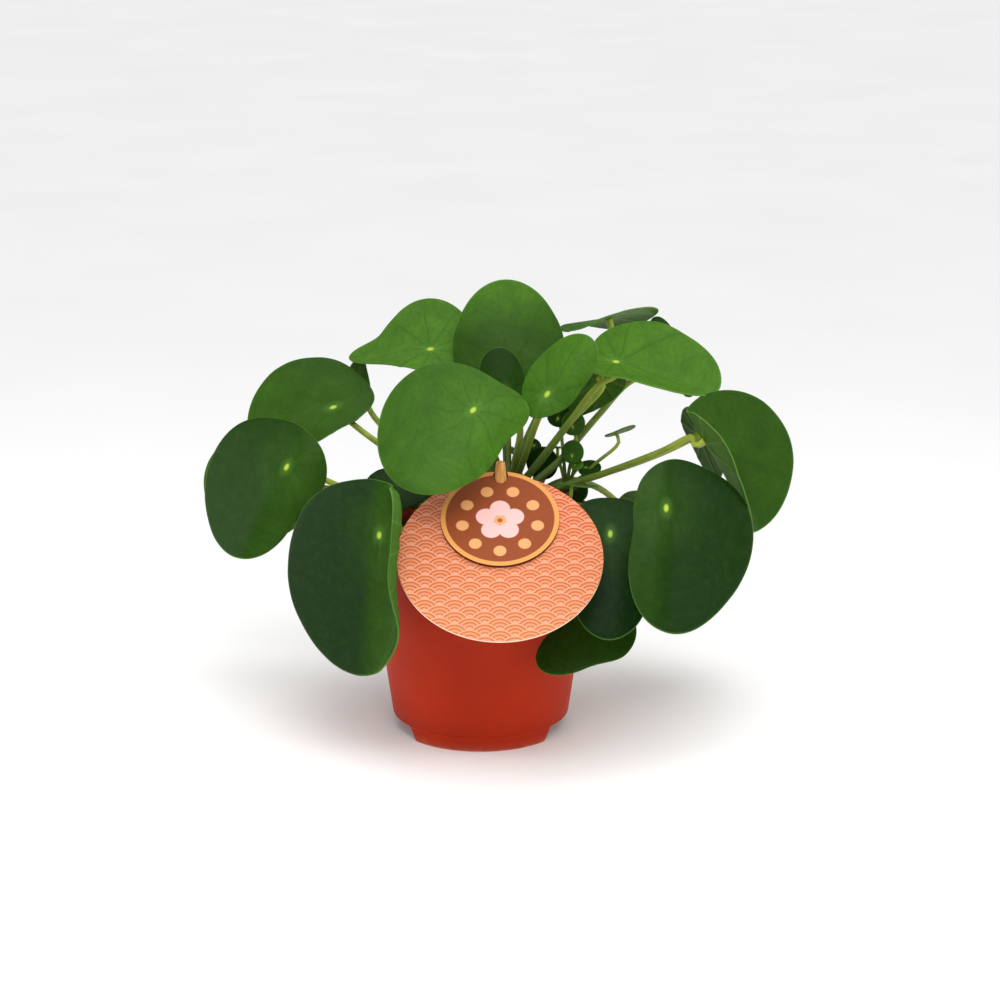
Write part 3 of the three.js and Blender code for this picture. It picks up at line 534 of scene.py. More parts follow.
def lay_blade(bm, leaf, sectors=SECTORS, rings=RINGS, thick=BLADE_THICK, fine=1):
    """Spins a flat disc with a rounded margin and drapes it over the leaf's form. Upper faces
    get the first finish and lower ones the second. A small leaf is smooth, and its marks are
    drawn as many times finer as fine says."""
    if (sectors, rings) not in flat_discs:
        disc = bmesh.new()
        inner = [((i / rings) ** 0.9 * 0.972, 1.0) for i in range(rings)]
        top = inner + LIP
        spun(disc, top + [(s, -h) for s, h in reversed(top[:-1])], sectors)
        disc.verts.layers.float.new("share")
        disc.verts.layers.float.new("fresh")
        disc.loops.layers.uv.new("blade")
        disc.normal_update()
        flat_discs[sectors, rings] = disc
    flat = flat_discs[sectors, rings].copy()
    share = flat.verts.layers.float["share"]
    fresh = flat.verts.layers.float["fresh"]
    uv = flat.loops.layers.uv["blade"]
    axes = blade_axes(leaf)
    # Painted light: the side of the blade that the light reaches most is painted fresher than the
    # leaf's own green.
    gain, heading, low, high = leaf.get("paler", (0, 0, 0, 1))
    draped = {}
    for vert in flat.verts:
        x, y = vert.co.xy
        vert[share] = hypot(x, y)
        key = (round(x, 5), round(y, 5))
        if key in draped:
            continue
        reach = blade_margin(leaf, atan2(x, y))
        u, v = x * reach, y * reach
        middle = blade_point(leaf, axes, u, v)
        across = blade_point(leaf, axes, u + PROBE, v) - middle
        along = blade_point(leaf, axes, u, v + PROBE) - middle
        up = across.cross(along).normalized()
        vein_at = vein_map(leaf, u, v)
        relief, vein = blade_relief(leaf, u, v, *vein_at) if fine == 1 else (0, 0)
        ahead = u * sin(radians(heading)) + v * cos(radians(heading))
        youth_and_painted_light = leaf["fresh"] + gain * smooth_step((ahead - low) / (high - low))
        draped[key] = middle, up, relief, vein, vein_at, youth_and_painted_light
    for face in flat.faces:
        face.material_index = 0 if face.normal.z > 0 else 1
        for loop in face.loops:
            a, b = draped[(round(loop.vert.co.x, 5), round(loop.vert.co.y, 5))][4]
            loop[uv].uv = (a * fine / MAP_SPAN + 0.5, b * fine / MAP_SPAN + 0.5)
    for vert in flat.verts:
        x, y, z = vert.co
        middle, up, relief, vein, _, vert[fresh] = draped[(round(x, 5), round(y, 5))]
        under = 0.35 * vein if z < 0 else 0
        vert.co = middle + up * (z * thick / 2 + relief - under)
    join_in(bm, flat)


def leaf_finish(name, old, young, vein_tint, vein_strength, rim_tint, roughness):
    """A living leaf's waxy skin: green that goes from old to young with how old the leaf is and
    with the painted light laid into the fresh value, spoke veins and a fine net between them, a
    bright spot at the joint and a pale thin margin."""
    material, tree, shader, mm = new_finish(
        name, uv="blade", Roughness=roughness, Specular_IOR_Level=0.07, Subsurface_Weight=0.15,
        Subsurface_Scale=1.2 * MM, Subsurface_Radius=(0.5, 1.0, 0.15))
    read = {"far": add_node(tree, "VectorMath", {0: mm}, operation="LENGTH")}
    read["X"], read["Y"] = add_node(tree, "SeparateXYZ", {"Vector": mm}).node.outputs[:2]
    # The fresh value holds how old the leaf is and, on one side of some blades, painted light.
    for layer in ("fresh", "share"):
        read[layer] = add_node(tree, "Attribute", out="Fac", attribute_name=layer)
    for mark, size, detail in (("cloud", 11, 4), ("patch", 4.5, 3), ("speck", 1.9, 2)):
        inputs = {"Vector": mm, "Scale": 1 / size, "Detail": detail}
        read[mark] = add_node(tree, "TexNoise", inputs)
    # The net's meshes are about 1.5 mm on a real leaf. They are drawn at 2.6 mm.
    read["net"] = add_node(tree, "TexVoronoi", {"Vector": mm, "Scale": 1 / 2.6},
                           feature="DISTANCE_TO_EDGE")
    slim = add_node(tree, "VectorMath", {0: mm, 1: (1 / 1.5, 1 / 2.4, 0)}, operation="MULTIPLY")
    read["joint"] = add_node(tree, "VectorMath", {0: slim}, operation="LENGTH")
    # Each row is a sum: its name, its kind, and the values or rows that it reads. SMOOTHSTEP
    # reads a row, the two values of it between which it fades, and what it fades from and to.
    sums = [("angle", "ARCTAN2", "X", "Y")]
    # The main veins, and three times as many side veins between them that begin further out.
    for vein, count, width, length in (("main", VEINS, (0.15, 0.95, 1, 0), (62, 8, 0.15, 1)),
                                       ("side", 3 * VEINS, (0.1, 0.7, 1, 0), (14, 34, 0, 0.5))):
        sums += [("turns", "MULTIPLY", "angle", count / (2 * pi)),
                 ("spoke", "PINGPONG", "turns", 0.5), ("arc", "MULTIPLY", "spoke", "far"),
                 ("off", "MULTIPLY", "arc", 2 * pi / count), ("line", "SMOOTHSTEP", "off", *width),
                 ("run", "SMOOTHSTEP", "far", *length), (vein, "MULTIPLY", "line", "run")]
    sums += [
        ("thread", "SMOOTHSTEP", "net", 0, 0.16, 1, 0), ("netting", "MULTIPLY", "thread", 0.25),
        ("ribs", "MAXIMUM", "main", "side"), ("veins", "MAXIMUM", "ribs", "netting"),
        ("mottle", "MULTIPLY_ADD", "cloud", 0.9, 0.55), ("age_and_painted_light", "MULTIPLY", "fresh", "mottle"),
        ("core", "SMOOTHSTEP", "far", 5, 30, 0.07, 0), ("aged_and_painted_light", "ADD", "age_and_painted_light", "core"),
        ("ripe_and_painted_light", "MINIMUM", "aged_and_painted_light", 1), ("clear", "MULTIPLY_ADD", "ripe_and_painted_light", 1.8, 0.15),
        ("shown", "MULTIPLY", "clear", vein_strength), ("veined", "MULTIPLY", "veins", "shown"),
        ("specked", "SMOOTHSTEP", "speck", 0.35, 0.7, 0, 0.16),
        ("patched", "SMOOTHSTEP", "patch", 0.4, 0.75, 0, 0.03),
        ("halo", "SMOOTHSTEP", "joint", 3, 0.8, 0, 0.25),
        ("spot", "SMOOTHSTEP", "joint", 1.1, 0.35, 0, 0.85),
        ("margin", "SMOOTHSTEP", "share", 0.98, 0.998, 0, 0.4),
        ("dull", "MULTIPLY_ADD", "speck", 0.12, roughness - 0.06),
        ("sunk", "MULTIPLY_ADD", "veins", -1, "speck"),
    ]
    for key, kind, *reads in sums:
        inputs = dict(enumerate(read.get(value, value) for value in reads))
        if kind == "SMOOTHSTEP":
            read[key] = add_node(tree, "MapRange", inputs, interpolation_type=kind)
        else:
            read[key] = add_node(tree, "Math", inputs, operation=kind)
    # Green from old to young, also lighter where painted light was added to the fresh value.
    skin = add_node(tree, "ValToRGB", {"Fac": read["ripe_and_painted_light"]}, stops=[(0.0, old), (1.0, young)])
    for key, colour in (("specked", old), ("patched", rim_tint), ("veined", vein_tint),
                        ("halo", rim_tint), ("spot", 0xb4cc48), ("margin", rim_tint)):
        skin = add_node(tree, "Mix", {"Factor": read[key], "A": skin, "B": tint(colour)},
                        data_type="RGBA")
    tree.links.new(skin, shader.inputs["Base Color"])
    tree.links.new(read["dull"], shader.inputs["Roughness"])
    add_node(tree, "Bump", {"Height": read["sunk"], "Strength": 0.12, "Distance": 0.1 * MM},
             to=shader.inputs["Normal"])
    return material


upper_skin = leaf_finish("waxy_leaf_upper_side", 0x0b2606, 0x568724, 0x1e4a10, 0.26, 0x64903a, 0.42)
under_skin = leaf_finish("dull_leaf_underside", 0x24441a, 0x5c8c24, 0x7d9a40, 0.22, 0x6f9040, 0.5)
for key, leaf in LEAVES.items():
    bm = bmesh.new()
    lay_blade(bm, leaf)
    blade = make_piece("leaf_" + key, bm, [upper_skin, under_skin], sharp=80)
    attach(blade, "root")
    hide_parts("blade_" + key)


# ---- soil ----
# Damp peat-based potting soil, pressed in by hand up to a finger's width under the rim: a dark
# crumbly bed with small clods lying on it.
SOIL_LOW = 9.9
SOIL_TOP = 98
SOIL_LUMP = 1.3
SOIL_REACH = wall_at(SOIL_TOP) - WALL - 1.0
SOIL_RINGS = 34
SOIL_SIDES = 120


def soil_finish():
    """Peat: nearly black brown and quite dull, with paler fibres and a few light grains."""
    material, tree, shader, place = new_finish("damp_potting_peat", Roughness=0.92)
    clods = add_node(tree, "TexNoise", {"Vector": place, "Scale": 1 / (9 * MM), "Detail": 6})
    grains = add_node(tree, "TexVoronoi", {"Vector": place, "Scale": 1 / (1.6 * MM)}).node.outputs
    earth = add_node(tree, "ValToRGB", {"Fac": clods},
                     stops=[(0.3, 0x1d140e), (0.55, 0x33251a), (0.75, 0x4c3828)])
    light = add_node(tree, "ValToRGB", {"Fac": grains["Color"]}, stops=[(0.8, 0.0), (0.95, 0.45)])
    add_node(tree, "Mix", {"Factor": light, "A": earth, "B": tint(0x7b6248)}, data_type="RGBA",
             to=shader.inputs["Base Color"])
    add_node(tree, "Bump", {"Height": grains["Distance"], "Strength": 0.6, "Distance": 0.5 * MM},
             to=shader.inputs["Normal"])
    return material


peat = soil_finish()
bm = bmesh.new()
crust = [(SOIL_REACH * i / SOIL_RINGS, SOIL_TOP) for i in range(SOIL_RINGS + 1)]
low_edge = wall_at(SOIL_LOW) - WALL - 0.7
spun(bm, crust + [(SOIL_REACH - 0.2, SOIL_TOP - 4), (low_edge, SOIL_LOW), (0, SOIL_LOW)],
     SOIL_SIDES)
for vert in bm.verts:
    if vert.co.z > SOIL_TOP - 1:
        wide = noise.noise(vert.co / 14)
        fine = noise.noise(vert.co / 3.6 + Vector((9, 0, 0)))
        edge = smooth_step((hypot(vert.co.x, vert.co.y) - SOIL_REACH + 5) / 5)
        vert.co.z += SOIL_LUMP * (0.7 * wide + 0.5 * fine) - edge
soil = make_piece("potting_soil", bm, [peat], sharp=180)
CRUMBS = 420
GOLDEN = pi * (3 - sqrt(5))
bm = bmesh.new()
for i in range(CRUMBS):
    away = (SOIL_REACH - 3) * sqrt((i + 0.5) / CRUMBS)
    x, y = away * cos(i * GOLDEN), away * sin(i * GOLDEN)
    seat = Vector((x, y, i))
    size = 0.7 + 1.7 * abs(noise.noise(seat / 3)) + (1.2 if i % 17 == 0 else 0)
    squat = Matrix.Diagonal((1, 0.6 + 0.3 * noise.noise(seat), 0.7, 1))
    lump = SOIL_LUMP * 0.7 * noise.noise(Vector((x, y, SOIL_TOP)) / 14)
    at = Matrix.Translation((x, y, SOIL_TOP + lump))
    spin_round = Matrix.Rotation(i * GOLDEN * 3, 4, "Z") @ Matrix.Rotation(i * 0.7, 4, "X")
    made = bmesh.ops.create_icosphere(bm, subdivisions=1, radius=size,
                                      matrix=at @ spin_round @ squat)["verts"]
    for vert in made:
        push = [noise.noise(vert.co / size + Vector((0, 0, apart))) for apart in (0, 31, 67)]
        vert.co += 0.3 * size * Vector(push)
crumbs = make_piece("soil_crumbs", bm, [peat], sharp=25)
for piece in (soil, crumbs):
    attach(piece, "root")
    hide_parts("soil")


# ---- stem with its leaf stalks ----
# The plant's short woody crown, with the ring scars and brown papery scales of shed leaves. From
# it each leaf's smooth round stalk grows out and up, and widens where it meets the blade.
STEM_AT = Vector((14, 3, 0))
STEM_RADIUS = 5.2
STEM_TOP = 121
STEM_DEEP = 84
STEM_STEPS = 24
STEM_SIDES = 24
STALK_RADII = (2.1, 1.4)
STALK_FLARE = {0: 0.7, 1: 0.4, -2: 0.25, -1: 0.7}  # how much wider it is at either end
STALK_SIDES = 14
STALK_STEPS = 34
STALK_LIFT = 8  # how far a stalk with no points of its own arches up
STALK_REACH = 16  # how far it runs straight on below a blade
STALK_END = 1.1  # under the blade's middle surface
CURVE_STEPS = 16  # between two points of a path, before it is evened out


def eased_path(points, steps):
    """Even steps along a centripetal Catmull-Rom curve through the points."""
    ends = [points[0] * 2 - points[1], *points, points[-1] * 2 - points[-2]]
    fine = []
    for p, q, r, s in zip(ends, ends[1:], ends[2:], ends[3:]):
        t1 = sqrt((q - p).length)
        t2 = t1 + sqrt((r - q).length)
        t3 = t2 + sqrt((s - r).length)
        for i in range(CURVE_STEPS):
            t = t1 + (t2 - t1) * i / CURVE_STEPS
            a = p.lerp(q, t / t1)
            b = q.lerp(r, (t - t1) / (t2 - t1))
            c = r.lerp(s, (t - t2) / (t3 - t2))
            ab = a.lerp(b, t / t2)
            bc = b.lerp(c, (t - t1) / (t3 - t1))
            fine.append(ab.lerp(bc, (t - t1) / (t2 - t1)))
    fine.append(points[-1])
    runs = [0.0]
    for a, b in zip(fine, fine[1:]):
        runs.append(runs[-1] + (b - a).length)
    path = []
    k = 0
    for i in range(steps + 1):
        want = runs[-1] * i / steps
        while k < len(runs) - 2 and runs[k + 1] < want:
            k += 1
        path.append(fine[k].lerp(fine[k + 1], (want - runs[k]) / (runs[k + 1] - runs[k])))
    return path


def lay_stalk(whole, path, radii, sides, index=0):
    """Extrudes a ring along a path, with a radius for each of its points, and closes both ends."""
    bm = bmesh.new()
    along = bm.verts.layers.float.new("along")
    last = len(path) - 1
    ways = [(path[min(i + 1, last)] - path[max(i - 1, 0)]).normalized() for i in range(last + 1)]
    side = ways[0].orthogonal().normalized()
    places = []
    for at, way, radius in zip(path, ways, radii):
        side = (side - way * side.dot(way)).normalized()
        turn = Matrix((side, way.cross(side), way)).transposed().to_4x4()
        places.append(Matrix.Translation(at) @ turn @ Matrix.Scale(radius, 4))
    bmesh.ops.create_circle(bm, cap_ends=True, radius=1, segments=sides, matrix=places[0])
    edges = bm.edges[:]
    bm.faces[:][0].normal_flip()
    for i in range(1, last + 1):
        grown = bmesh.ops.extrude_edge_only(bm, edges=edges)["geom"]
        ring = [e for e in grown if isinstance(e, bmesh.types.BMVert)]
        edges = [e for e in grown if isinstance(e, bmesh.types.BMEdge)]
        bmesh.ops.transform(bm, matrix=places[i] @ places[i - 1].inverted(), verts=ring)
        for vert in ring:
            vert[along] = i / last
    bmesh.ops.contextual_create(bm, geom=edges)
    for face in bm.faces:
        face.material_index = index
    join_in(whole, bm)


def stalk_path(leaf, root):
    """From the stem up and out past the row's points, and into the blade from below."""
    at, _, _, over, _ = blade_axes(leaf)
    end = at - over * STALK_END
    before = end - over * leaf.get("reach", STALK_REACH)
    middle = root.lerp(before, 0.45) + Vector((0, 0, STALK_LIFT))
    through = [Vector(p) for p in leaf["arm"]] if "arm" in leaf else [middle]
    return eased_path([root, *through, before, end], STALK_STEPS)


def stalk_finish():
    """A leaf stalk's skin: smooth, half glossy and full of sap, pale yellow-green under the blade
    and darker toward the stem, partly its own colour and partly painted shade from the leaves over
    the crown, with fine brown flecks."""
    material, tree, shader, place = new_finish("leaf_stalk_with_painted_shade", Roughness=0.38,
                                               Specular_IOR_Level=0.3, IOR=1.45)
    along = add_node(tree, "Attribute", out="Fac", attribute_name="along")
    cloud = add_node(tree, "TexNoise", {"Vector": place, "Scale": 1 / (7 * MM), "Detail": 3})
    shift = add_node(tree, "Math", {0: cloud, 1: 0.4, 2: -0.2}, operation="MULTIPLY_ADD")
    run = add_node(tree, "Math", {0: along, 1: shift}, operation="ADD", use_clamp=True)
    # The darkest stops at the stem end are partly painted shade from the leaves over the crown.
    skin = add_node(tree, "ValToRGB", {"Fac": run}, stops=[
        (0.0, 0x2e3e12), (0.3, 0x4c631c), (0.7, 0x7e9230), (1.0, 0xaabb44)])
    fleck = add_node(tree, "TexNoise", {"Vector": place, "Scale": 1 / (0.9 * MM), "Detail": 2})
    rusty = add_node(tree, "MapRange", {"Value": fleck, "From Min": 0.6, "From Max": 0.75,
                                        "To Min": 0, "To Max": 0.35})
    add_node(tree, "Mix", {"Factor": rusty, "A": skin, "B": tint(0x6a5a28)}, data_type="RGBA",
             to=shader.inputs["Base Color"])
    add_node(tree, "Bump", {"Height": fleck, "Strength": 0.2, "Distance": 0.1 * MM},
             to=shader.inputs["Normal"])
    return material


def bark_finish():
    """Young bark and dry scales: dull brown and rough, with a paler grain."""
    material, tree, shader, place = new_finish("young_stem_bark", Roughness=0.8)
    rings = add_node(tree, "TexNoise", {"Vector": place, "Scale": 1 / (2.2 * MM), "Detail": 4})
    add_node(tree, "ValToRGB", {"Fac": rings}, to=shader.inputs["Base Color"],
             stops=[(0.35, 0x4a3a22), (0.5, 0x6b5c34), (0.7, 0x8a7a4c)])
    add_node(tree, "Bump", {"Height": rings, "Strength": 0.5, "Distance": 0.4 * MM},
             to=shader.inputs["Normal"])
    return material


stalk_skin = stalk_finish()
bark = bark_finish()
bm = bmesh.new()
bm.verts.layers.float.new("along")
heights = [STEM_DEEP + (STEM_TOP - STEM_DEEP) * i / STEM_STEPS for i in range(STEM_STEPS + 1)]
girth = [STEM_RADIUS - 0.2 - 0.9 * i / STEM_STEPS + (0.35 if i % 3 == 0 else 0)
         for i in range(STEM_STEPS + 1)]
lay_stalk(bm, [STEM_AT + Vector((0, 0, z)) for z in heights], girth, STEM_SIDES, index=1)
for leaf in LEAVES.values():
    path = stalk_path(leaf, STEM_AT + Vector((0, 0, leaf["root"])))
    radii = [STALK_RADII[0] + (STALK_RADII[1] - STALK_RADII[0]) * i / STALK_STEPS
             for i in range(STALK_STEPS + 1)]
    for i, flare in STALK_FLARE.items():
        radii[i] += flare
    lay_stalk(bm, path, radii, STALK_SIDES)
# The dry scales: thin pointed tongues that stand off the crown between the stalks.
SCALES = 14
SCALES_LOW = 101
SCALE_STEP = 1.35
SCALE_LENGTH = 6.5
for i in range(SCALES):
    foot = Matrix.Translation(STEM_AT + Vector((0, 0, SCALES_LOW + i * SCALE_STEP)))
    lean = Matrix.Rotation(i * GOLDEN, 4, "Z") @ Matrix.Translation((STEM_RADIUS - 0.8, 0, 2.2))
    flat_cone = Matrix.Rotation(radians(24), 4, "Y") @ Matrix.Diagonal((0.25, 1, 1, 1))
    scale = bmesh.ops.create_cone(bm, cap_ends=True, segments=10, radius1=1.9, radius2=0.15,
                                  depth=SCALE_LENGTH, matrix=foot @ lean @ flat_cone)["verts"]
    for face in {f for vert in scale for f in vert.link_faces}:
        face.material_index = 1
stem = make_piece("stem_with_leaf_stalks", bm, [stalk_skin, bark], sharp=60)
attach(stem, "root")
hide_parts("stem")


# ---- pups ----
# Baby plants that come up from the roots beside the parent: a thin stem each, with small leaves
# of the same kind on short stalks, fresher in colour.

# Rows as for the large leaves; size is the distance from the joint to the tip, low how many
# joints down the stem its stalk starts, via what it passes.
PUPS = {
    "pup_right": dict(at=(44, 16), top=122, leaves=[
        dict(at=(39.5, 20, 156.8), tip=(2, 1, 8), face=(-100, 18), size=8.5, fresh=0),
        dict(at=(47, 14, 154), tip=(1, 2, 9), face=(-100, 12), size=8.5, low=3, via=(49, 11, 140),
            fresh=0.25),
        dict(at=(46.5, 6, 141), tip=(1, 1, 7), face=(-96, 14), size=8, fresh=0.3),
        dict(at=(48, 9, 135.5), tip=(4, -2, 1), face=(-60, 35), size=4.5, low=1, fresh=0.7),
        dict(at=(54, 18, 131.8), tip=(8, -1, 0), face=(-92, 60), size=8, low=2, fresh=0.1),
        dict(at=(69, 22, 149.5), tip=(10, -2, 4.5), face=(90, 74), size=11, low=3),
        dict(at=(46, -12, 131.5), tip=(13, 0, -1), face=(90, 74), size=14, low=3, fresh=0.3),
        dict(at=(49, 22, 120), tip=(4, -2, -6), face=(-80, 22), size=8, low=3, fresh=0),
        dict(at=(40, 36, 138), tip=(-2, 8, -2), face=(100, 50), size=11, low=1),
    ]),
    "pup_centre": dict(at=(28, 28), top=112, leaves=[
        dict(at=(27.5, 30, 140), tip=(-5, -2, -3), face=(-100, 30), size=7, fresh=0),
        dict(at=(31, 26, 134), tip=(3, -1, -8), face=(-98, 18), size=11.5, low=1, fresh=0),
        dict(at=(20, 38, 134), tip=(-5, 6, 2), face=(110, 50), size=10, low=2),
        dict(at=(34, 40, 128), tip=(6, 7, -1), face=(60, 45), size=9, low=3),
    ]),
    "pup_back": dict(at=(-22, 30), top=112, leaves=[
        dict(at=(-36, 29, 131), tip=(-8, 3, 2), face=(-170, 50), size=11),
        dict(at=(-18, 42, 138), tip=(3, 9, 3), face=(80, 45), size=12, low=1),
        dict(at=(-28, 48, 126), tip=(-4, 9, -4), face=(110, 35), size=11, low=2),
        dict(at=(-36, 21, 120), tip=(-8, -4, -2), face=(-150, 50), size=10, low=3),
        dict(at=(-12, 32, 126), tip=(7, 4, -1), face=(40, 60), size=8),
    ]),
}
PUP_FRESH = 0.45
SMALL_RIM = (1, 0.86, 0.7, 0.58, 0.52, 0.58, 0.7, 0.86)
PUP_STEM = 2.2
PUP_TOP = 1.2
PUP_STEPS = 12
PUP_STALK = 0.9
PUP_STEM_SIDES = 14
PUP_STALK_SIDES = 10
PUP_STALK_STEPS = 16
PUP_JOINT = 1.5
PUP_THICK = 0.8
for key, pup in PUPS.items():
    bm = bmesh.new()
    bm.verts.layers.float.new("along")
    foot = Vector((*pup["at"], 0))
    heights = [STEM_DEEP + (pup["top"] - STEM_DEEP) * i / PUP_STEPS for i in range(PUP_STEPS + 1)]
    girth = [PUP_STEM - 0.2 + (0.2 if i % 2 else 0) for i in range(PUP_STEPS)] + [PUP_TOP]
    lay_stalk(bm, [foot + Vector((0, 0, z)) for z in heights], girth, PUP_STEM_SIDES, index=2)
    for small in pup["leaves"]:
        rim = [share * small["size"] for share in SMALL_RIM]
        leaf = {"fresh": PUP_FRESH, **small, "rim": rim, "bend": (14, 14, 8, 8), "wave": 0.2}
        lay_blade(bm, leaf, sectors=64, rings=10, thick=PUP_THICK, fine=2.4)
        at, _, _, over, _ = blade_axes(leaf)
        end = at - over * 0.5
        before = end - over * (0.4 * leaf["size"] + 1)
        root = foot + Vector((0, 0, pup["top"] - PUP_JOINT * (1 + leaf.get("low", 0))))
        middle = Vector(leaf.get("via", root.lerp(before, 0.5) + Vector((0, 0, 2))))
        path = eased_path([root, middle, before, end], PUP_STALK_STEPS)
        lay_stalk(bm, path, [PUP_STALK] * len(path), PUP_STALK_SIDES, index=3)
    piece = make_piece(key, bm, [upper_skin, under_skin, bark, stalk_skin], sharp=80)
    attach(piece, "root")
    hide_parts(key)


# ---- tag disc ----
# A large round tag of die-cut card, offset printed on its face with a traditional wave pattern in
# orange on peach and left pale on its back and cut edge. It leans on the rim, held by the peg.
TAG_RADIUS = 50
TAG_THICK = 1.2
TAG_TILT = 36
TAG_AT = Vector((10, -66.5, 109.4))
PEG_AT = Vector((10.3, -29.5, 0))
PEG_HOLE = 3.7
PUNCH_MIDDLE = 125
PUNCH_LENGTH = 60
CARD_EDGE = 0.16
CARD_SIDES = 200
tag_place = Matrix.Translation(TAG_AT) @ Matrix.Rotation(radians(TAG_TILT), 4, "X")


def lay_card(radius, thick, up, lift):
    """A die-cut disc with softly pressed edges, punched for the peg, in its leaning place. The
    printed face gets the first finish, the rest the second."""
    bm = bmesh.new()
    bmesh.ops.create_circle(bm, cap_ends=True, radius=radius, segments=CARD_SIDES)
    grown = bmesh.ops.extrude_face_region(bm, geom=bm.faces[:])["geom"]
    top = [e for e in grown if isinstance(e, bmesh.types.BMVert)]
    bmesh.ops.translate(bm, vec=(0, 0, thick), verts=top)
    bmesh.ops.recalc_face_normals(bm, faces=bm.faces)
    brink = [e for e in bm.edges if e.calc_face_angle() > radians(60)]
    bmesh.ops.bevel(bm, geom=brink, offset=CARD_EDGE, offset_type="OFFSET", segments=3, profile=0.5,
                    affect="EDGES", material=-1)
    bmesh.ops.translate(bm, vec=(0, up, lift), verts=bm.verts)
    for face in bm.faces:
        face.material_index = 0 if face.calc_center_median().z > lift + thick - 0.12 else 1
    bm.transform(tag_place)
    pin = bmesh.new()
    at = Matrix.Translation(PEG_AT + Vector((0, 0, PUNCH_MIDDLE)))
    bmesh.ops.create_cone(pin, cap_ends=True, segments=48, radius1=PEG_HOLE, radius2=PEG_HOLE,
                          depth=PUNCH_LENGTH, matrix=at)
    for face in pin.faces:
        face.material_index = 1
    punch(bm, pin)
    uv = bm.loops.layers.uv.new("card")
    back = tag_place.inverted()
    for face in bm.faces:
        for loop in face.loops:
            flat = back @ loop.vert.co
            loop[uv].uv = (flat.x / MAP_SPAN + 0.5, (flat.y - up) / MAP_SPAN + 0.5)
    return bm


def card_finish(name, low, high, uv=None):
    """Card of cloudy pulp between two colours, with a slightly furry grain. Gives the material, its
    tree, its shader, the place that a print on it reads, and the pulp's colour."""
    material, tree, shader, place = new_finish(name, uv, Roughness=0.6, Specular_IOR_Level=0.25)
    solid = add_node(tree, "TexCoord", out="Object") if uv else place
    pulp = add_node(tree, "TexNoise", {"Vector": solid, "Scale": 1 / (0.8 * MM), "Detail": 3})
    add_node(tree, "Bump", {"Height": pulp, "Strength": 0.15, "Distance": 0.05 * MM},
             to=shader.inputs["Normal"])
    colour = add_node(tree, "ValToRGB", {"Fac": pulp}, stops=[(0.3, low), (0.7, high)],
                      to=shader.inputs["Base Color"])
    return material, tree, shader, place, colour


FAN = 7.2  # radius of a fan of the pattern
FAN_ROW = FAN / 2


def wave_print_finish():
    """Offset print on coated card, lightly sheened: rows of overlapping fans in orange lines on
    a peach ground, each row covering the feet of the one above it."""
    material, tree, shader, mm, ground = card_finish("offset_wave_print", 0xdc9375, 0xe09a7c,
                                                     uv="card")
    read = {"seen": 0.0}
    read["X"], read["Y"] = add_node(tree, "SeparateXYZ", {"Vector": mm}).node.outputs[:2]
    # Each row is a sum: its name, its kind, and the values or rows that it reads. Three rows of
    # fans reach any place. From the top one down, each covers what is seen inside its own radius.
    sums = [("under", "SUBTRACT", "Y", FAN), ("rows", "DIVIDE", "under", FAN_ROW),
            ("low", "CEIL", "rows")]
    for k in (2, 1, 0):
        sums += [("index", "ADD", "low", k), ("rise", "MULTIPLY_ADD", "index", -FAN_ROW, "Y"),
                 ("moved", "MULTIPLY_ADD", "index", FAN, "X"), ("aside", "PINGPONG", "moved", FAN),
                 ("high", "MULTIPLY", "rise", "rise"),
                 ("square", "MULTIPLY_ADD", "aside", "aside", "high"), ("far", "SQRT", "square"),
                 ("outside", "GREATER_THAN", "far", FAN), ("gap", "SUBTRACT", "seen", "far"),
                 ("seen", "MULTIPLY_ADD", "outside", "gap", "far")]
    sums += [("part", "DIVIDE", "seen", FAN)]
    for key, kind, *reads in sums:
        inputs = dict(enumerate(read.get(value, value) for value in reads))
        read[key] = add_node(tree, "Math", inputs, operation=kind)
    # From a fan's middle out: clear ground, then full lines with a band of thin ink between them.
    ink = add_node(tree, "ValToRGB", {"Fac": read["part"]}, stops=[
        (0.0, 0.0), (0.2, 0.0), (0.235, 1.0), (0.31, 1.0), (0.345, 0.3), (0.47, 0.3), (0.505, 1.0),
        (0.6, 1.0), (0.635, 0.3), (0.75, 0.3), (0.785, 1.0), (0.88, 1.0), (0.915, 0.0), (1.0, 0.0)])
    warm = add_node(tree, "MapRange", {"Value": read["Y"], "From Min": -45, "From Max": 30})
    orange = add_node(tree, "Mix", {"Factor": warm, "A": tint(0xbb6a2e), "B": tint(0xc85a20)},
                      data_type="RGBA")
    add_node(tree, "Mix", {"Factor": ink, "A": ground, "B": orange}, data_type="RGBA",
             to=shader.inputs["Base Color"])
    return material


# Cut edge and back of the card: bare pulp, warm white.
raw_card = card_finish("cut_card_pulp", 0xeec9a6, 0xf8dcc0)[0]
tag = make_piece("round_card_tag", lay_card(TAG_RADIUS, TAG_THICK, 0, 0),
                 [wave_print_finish(), raw_card])
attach(tag, "root")
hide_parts("tag_disc")


# ---- coin disc ----
# A smaller, thicker card disc glued on the tag, printed warm brown with a golden border. Its
# plain generic print is a five-petalled blossom in pink with small round peach seeds about it.
COIN_RADIUS = 29
COIN_THICK = 1.6
COIN_UP = 22
COIN_LIFT = 1.5
BORDER = 2.4
BLOSSOM_DROP = 1.5  # of the blossom's middle under the disc's
INK_EDGE = 0.25  # softness of a printed edge
# Each ink from the first down: its colour, how many marks, their radius, how far out they stand,
# and by what share of a step the first is turned from straight up.
INKS = [(0xf6bdb8, 5, 4.9, 7.2, 0), (0xe8a566, 1, 2.9, 0, 0), (0xa8572f, 1, 1.3, 0, 0),
        (0xe6a267, 9, 3.1, 18.6, 0.5)]


